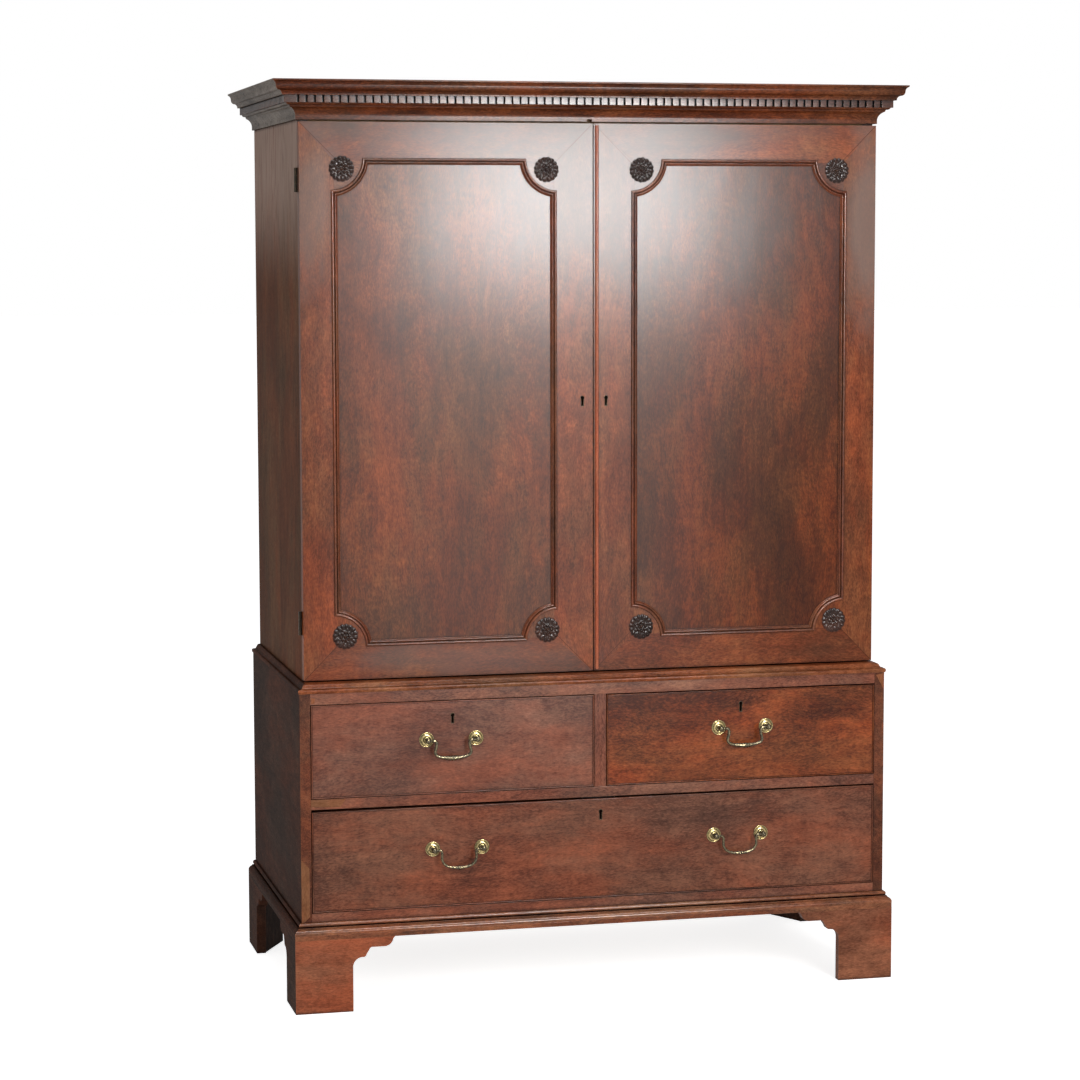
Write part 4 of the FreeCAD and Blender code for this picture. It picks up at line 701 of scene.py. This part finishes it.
def rosette_height(share, turn):
    """Height of the carving in millimetres, for a share of the petals' reach and a turn counted in petals.

    A bead stands in a small flower, then come pointed leaves and, round the rim, two lobes to a petal.
    """
    side = off_petal(turn)
    bead = 5.0 * math.sqrt(max(1 - (share / 0.14) ** 2, 0.0))
    flower = 3.9 * bump(share, 0.34, 0.13) * (0.70 + 0.30 * math.cos(2 * math.pi * turn))
    lobe = 3.5 * bump(side, 0.5, 0.33) * bump(share, 0.80, 0.15)
    dimple = 1.0 * bump(side, 0.5, 0.12) * bump(share, 0.76, 0.06)
    leaf = 2.2 * bump(side, 1.0, 0.34) * bump(share, 0.56, 0.10)
    return max(0.8 + max(lobe - dimple, leaf), 0.45, bead, flower)


def rosette(mesh, x, y, z, start):
    """One flower: rings of points out from the middle, over a scalloped rim and down to the frame."""
    rings = []
    for step in range(1, ROSETTE_RINGS + 1):
        share = (step / ROSETTE_RINGS) ** 0.9
        ring = []
        for k in range(ROSETTE_AROUND):
            turn = k / ROSETTE_AROUND * PETALS
            side = off_petal(turn)
            edge = ROSETTE_RADIUS * (1.0 - 0.06 * bump(side, 1.0, 0.20) - 0.05 * bump(side, 0.0, 0.20))
            angle = 2 * math.pi * k / ROSETTE_AROUND + start
            ring.append((x + edge * share * math.cos(angle), y - rosette_height(share, turn) * MM,
                         z + edge * share * math.sin(angle)))
        rings.append(ring)
    rings.append([(px, y, pz) for px, _, pz in rings[-1]])
    vertices = loft(mesh, rings, caps=False)
    top = mesh.verts.new((x, y - rosette_height(0.0, 0.0) * MM, z))
    for k in range(ROSETTE_AROUND):
        mesh.faces.new((vertices[(k + 1) % ROSETTE_AROUND], vertices[k], top))
    mesh.faces.new(vertices[-ROSETTE_AROUND:])
    lay_grain(mesh, vertices + [top])


def rosettes(door):
    face_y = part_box(door + "_frame")[0][1]
    mesh = new_wood_mesh()
    for x, z, across, up in front_corners(door + "_mouldings"):
        rosette(mesh, x + across * ROSETTE_INSET, face_y, z + up * ROSETTE_INSET,
                dice.uniform(-ROSETTE_TURN, ROSETTE_TURN))
    bmesh.ops.recalc_face_normals(mesh, faces=mesh.faces)
    stand_in(door + "_rosette_carving", mesh, door + "_rosettes", carved_wood, smooth=80)


# ---- handles ---------------------------------------------------------------------------------------------
HANDLES = {"left_drawer": ["left_drawer_bail"], "right_drawer": ["right_drawer_bail"],
           "long_drawer": ["long_drawer_bail_left", "long_drawer_bail_right"]}
SHANK_HALF, NUT_HALF, NUT_THICK = 2.5 * MM, 5.0 * MM, 3.0 * MM
SHANK_SHORT = 0.1 * MM                      # shank's end under the nut's face

# Outlines of turned pieces, (radius, height over the drawer's face) in millimetres.
ROSE = [(15.5, 0), (15.5, 0.9), (15.1, 1.5), (14.5, 1.7), (13.9, 1.5), (13.5, 0.9), (13.1, 0.8), (12.7, 1.3),
        (12.1, 2.2), (11.2, 3.0), (10.0, 3.6), (8.8, 3.9), (7.8, 3.8), (7.2, 3.2), (6.9, 2.6), (6.5, 2.5),
        (6.0, 3.1), (5.4, 3.6), (4.6, 3.8), (0.5, 3.0)]
POST = [(4.2, 3.8), (3.7, 6.0), (3.4, 9.5), (3.6, 11.0), (4.9, 11.7), (5.2, 12.4), (4.9, 13.1), (4.4, 13.6),
        (5.2, 14.8), (5.8, 16.6), (6.0, 18.8), (5.7, 20.8), (4.9, 22.6), (3.6, 23.8), (2.3, 24.3),
        (1.9, 24.7), (0.9, 25.2)]

# Right half of a bail's middle line, (across, up) in millimetres from the middle of its pivots.
SLIM_ARM = [(49.6, 0), (46.5, 0), (43.5, 0), (40.6, 0), (38.2, -0.6), (36.6, -3.0), (36.0, -8.0),
            (36.3, -14.5), (35.6, -21.0), (32.4, -27.6), (26.5, -32.6), (18.0, -35.8), (9.0, -37.2),
            (0, -37.6)]
STOUT_ARM = [(49.6, 0), (46.5, 0), (43.5, 0), (40.6, 0), (37.8, -0.4), (35.6, -2.8), (34.8, -7.6),
             (35.6, -14.0), (37.3, -20.0), (37.4, -26.0), (33.6, -31.2), (26.0, -34.2), (16.0, -35.9),
             (7.0, -36.8), (0, -37.0)]
SLIM_RADIUS, STOUT_RADIUS, PIVOT_RADIUS = 2.8, 3.25, 2.0        # millimetres
PIVOT_FROM = 43.8                           # where the arm narrows to the pivot, in millimetres


def turned(mesh, outline, x, y, z, around):
    """Turned shape on an axis toward the front."""
    rings = [[(x + r * MM * math.cos(2 * math.pi * k / around), y - h * MM,
               z + r * MM * math.sin(2 * math.pi * k / around)) for k in range(around)] for r, h in outline]
    loft(mesh, rings)


def square_bar(mesh, x, z, half, front, back):
    """Square bar on an axis toward the front."""
    loft(mesh, [[(x + across * half, y, z + up * half) for across, up in ((-1, -1), (1, -1), (1, 1), (-1, 1))]
                for y in (front, back)])


def tube(mesh, stations, around=16):
    """Rod through (x, y, z, radius, ridges) stations in a plane of constant y, with up to four ridges."""
    rings = []
    for index, (x, y, z, radius, ridges) in enumerate(stations):
        before, after = stations[max(index - 1, 0)], stations[min(index + 1, len(stations) - 1)]
        along = Vector((after[0] - before[0], 0, after[2] - before[2])).normalized()
        aside = Vector((-along.z, 0, along.x))
        ring = []
        for k in range(around):
            angle = 2 * math.pi * k / around
            out = radius * (1 + ridges * math.cos(4 * angle))
            ahead = Vector((0, out * math.sin(angle), 0))
            ring.append(Vector((x, y, z)) + aside * out * math.cos(angle) + ahead)
        rings.append(ring)
    loft(mesh, rings)


def handle_places(drawer):
    """Each bail of a drawer, with the handle's middle, the drawer's face and the height of the pivots."""
    low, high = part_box(drawer + "_handle_roses")
    face_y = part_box(drawer + "_front")[0][1] + BEAD_PROUD
    for bail in HANDLES[drawer]:
        bail_low, bail_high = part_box(bail)
        yield bail, (bail_low[0] + bail_high[0]) / 2, face_y, (low[2] + high[2]) / 2


def posts(drawer):
    """Ringed roses and turned posts, with square shanks through the drawer front and nuts behind it."""
    roses, knobs = bmesh.new(), bmesh.new()
    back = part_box(drawer + "_front")[1][1]
    for _, middle, face_y, z in handle_places(drawer):
        for side in (-1, 1):
            x = middle + side * POST_SPACING / 2
            turned(roses, ROSE, x, face_y, z, 48)
            turned(knobs, POST, x, face_y, z, 32)
            square_bar(knobs, x, z, SHANK_HALF, face_y, back + NUT_THICK - SHANK_SHORT)
            square_bar(knobs, x, z, NUT_HALF, back, back + NUT_THICK)
    for mesh in (roses, knobs):
        bmesh.ops.recalc_face_normals(mesh, faces=mesh.faces)
    node = drawer + "_handle_roses"
    stand_in(drawer + "_roses", roses, node, bright_brass, smooth=50)
    piece_from(drawer + "_posts", knobs, BODY_OF[node], aged_brass, smooth=50)


def bail(node, middle, face_y, z):
    """Drop handle bent from one rod: pivots, arms and a bow that swells to a lozenge or to a small knot."""
    slim = node.startswith("long")
    half = through(SLIM_ARM if slim else STOUT_ARM, 6)
    stations = []
    for u, v in half + [Vector((-point.x, point.y)) for point in reversed(half[:-1])]:
        reach = abs(u)
        if slim:
            radius = SLIM_RADIUS + 1.3 * bump(u, 0.0, 3.4) + 0.8 * bump(reach, 6.6, 1.1)
            ridges = 0.06 * bump(u, 0.0, 5.0)
        else:
            near = max(1 - reach / 21.0, 0.0) if v < -30 else 0.0
            radius, ridges = STOUT_RADIUS + 1.7 * near, 0.10 * min(3 * near, 1.0)
        if reach > PIVOT_FROM:
            radius = PIVOT_RADIUS
        collar = 0.9 * bump(reach, 42.8, 0.9) if v > -0.5 else 0.0
        place = middle + u * MM, face_y - PIVOT_STANDOFF, z + v * MM
        stations.append((*place, (radius + collar) * MM, ridges))
    mesh = bmesh.new()
    tube(mesh, stations)
    bmesh.ops.recalc_face_normals(mesh, faces=mesh.faces)
    stand_in(node + "_metal", mesh, node, aged_brass, smooth=60)


# ---- locks and keyholes ----------------------------------------------------------------------------------
KEYHOLE_EYE, KEYHOLE_SLOT, KEYHOLE_HEIGHT = 3.9 * MM, 2.4 * MM, 21 * MM      # radius, half width, height
LINER_WALL = 0.6 * MM
SHADE_PLATE_DEPTHS = 2.0 * MM, 3.0 * MM            # front and back of a near-black plate behind a keyhole's lip, painted shade inside the keyhole

# A lip's front edge: growth beyond the keyhole, and height over the wood.
LIP_EDGE = ((LINER_WALL, 0.0), (LINER_WALL, 0.25 * MM), (0.75 * LINER_WALL, 0.42 * MM),
            (0.3 * LINER_WALL, 0.42 * MM), (0.0, 0.20 * MM))


def keyhole_outline(x, top, grow):
    """Points round a keyhole: its eye as an arc, then the foot of its slot."""
    eye, half = KEYHOLE_EYE + grow, KEYHOLE_SLOT + grow
    first = math.asin(half / eye)
    turns = [first + (2 * math.pi - 2 * first) * k / 28 for k in range(29)]
    arc = [(x + eye * math.sin(a), top - KEYHOLE_EYE - eye * math.cos(a)) for a in turns]
    foot = top - KEYHOLE_HEIGHT - grow
    return arc + [(x - half, foot), (x + half, foot)]


def add_liner(mesh, x, top, front, back):
    """Brass lip of a keyhole: a thin wall with a rounded front edge, a hair proud of the wood."""
    edge = [(grow, front - proud) for grow, proud in LIP_EDGE] + [(0.0, back), (LINER_WALL, back)]
    rings = [[(px, y, pz) for px, pz in keyhole_outline(x, top, grow)] for grow, y in edge]
    rows = [[mesh.verts.new(place) for place in ring] for ring in rings]
    stitch(mesh, rows + rows[:1])


def locks(node):
    """A lock or set of fittings; its front-most solid is the keyhole's liner, which gets a smooth lip."""
    solids = solids_of(node)
    fronts = [min(corner[1] for face in faces for corner in face) for faces in solids]
    liner = solids.pop(fronts.index(min(fronts)))
    low = [min(corner[k] for face in liner for corner in face) for k in range(3)]
    high = [max(corner[k] for face in liner for corner in face) for k in range(3)]
    works, lip, shade_plate = bmesh.new(), bmesh.new(), bmesh.new()
    for faces in solids:
        add_solid(works, faces)
    middle, top = (low[0] + high[0]) / 2, high[2] - LINER_WALL
    outline = keyhole_outline(middle, top, 0.0)
    # A near-black plate inside the keyhole stands for its shade: painted shade.
    loft(shade_plate, [[(x, low[1] + depth, z) for x, z in outline] for depth in SHADE_PLATE_DEPTHS])
    add_liner(lip, middle, top, low[1], high[1])
    for mesh in (works, lip, shade_plate):
        bmesh.ops.recalc_face_normals(mesh, faces=mesh.faces)
    stand_in(node + "_works", works, node, iron, METAL_EDGE)
    piece_from(node + "_liner", lip, BODY_OF[node], aged_brass, smooth=60)
    piece_from(node + "_ward", shade_plate, BODY_OF[node], keyhole_shade)


# ---- repairs ---------------------------------------------------------------------------------------------
# Let-in patches of paler wood on the chest's front: corners (x, z) in millimetres.
REPAIRS = {"rail_repair": ((-608, 441.8), (-536, 440.5), (-548, 425), (-608, 427)),
           "stile_repair": ((-629.6, 319), (-613, 300), (-612, 200), (-629.6, 183)),
           "corner_repair": ((629.6, 660), (629.6, 622), (612, 655)),
           "top_repair": ((-606, 652), (-598, 651), (-599, 641), (-606, 640))}
REPAIR_PROUD, REPAIR_DEPTH = 0.08 * MM, 0.8 * MM    # ahead of the wood and into it


def repairs():
    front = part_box("lower_rails")[0][1]
    for name, corners in REPAIRS.items():
        mesh = new_wood_mesh()
        depths = front - REPAIR_PROUD, front + REPAIR_DEPTH
        lay_grain(mesh, loft(mesh, [[(x * MM, y, z * MM) for x, z in corners] for y in depths]))
        bmesh.ops.recalc_face_normals(mesh, faces=mesh.faces)
        piece_from(name, mesh, "case", patch_wood)


dress_boards()
repairs()
for node in LOCKS:
    locks(node)
for door in DOORS:
    panel_mouldings(door)
    rosettes(door)
for drawer in HANDLES:
    posts(drawer)
    for place in handle_places(drawer):
        bail(*place)

make_camera()
make_world()
make_floor()
make_lamps()
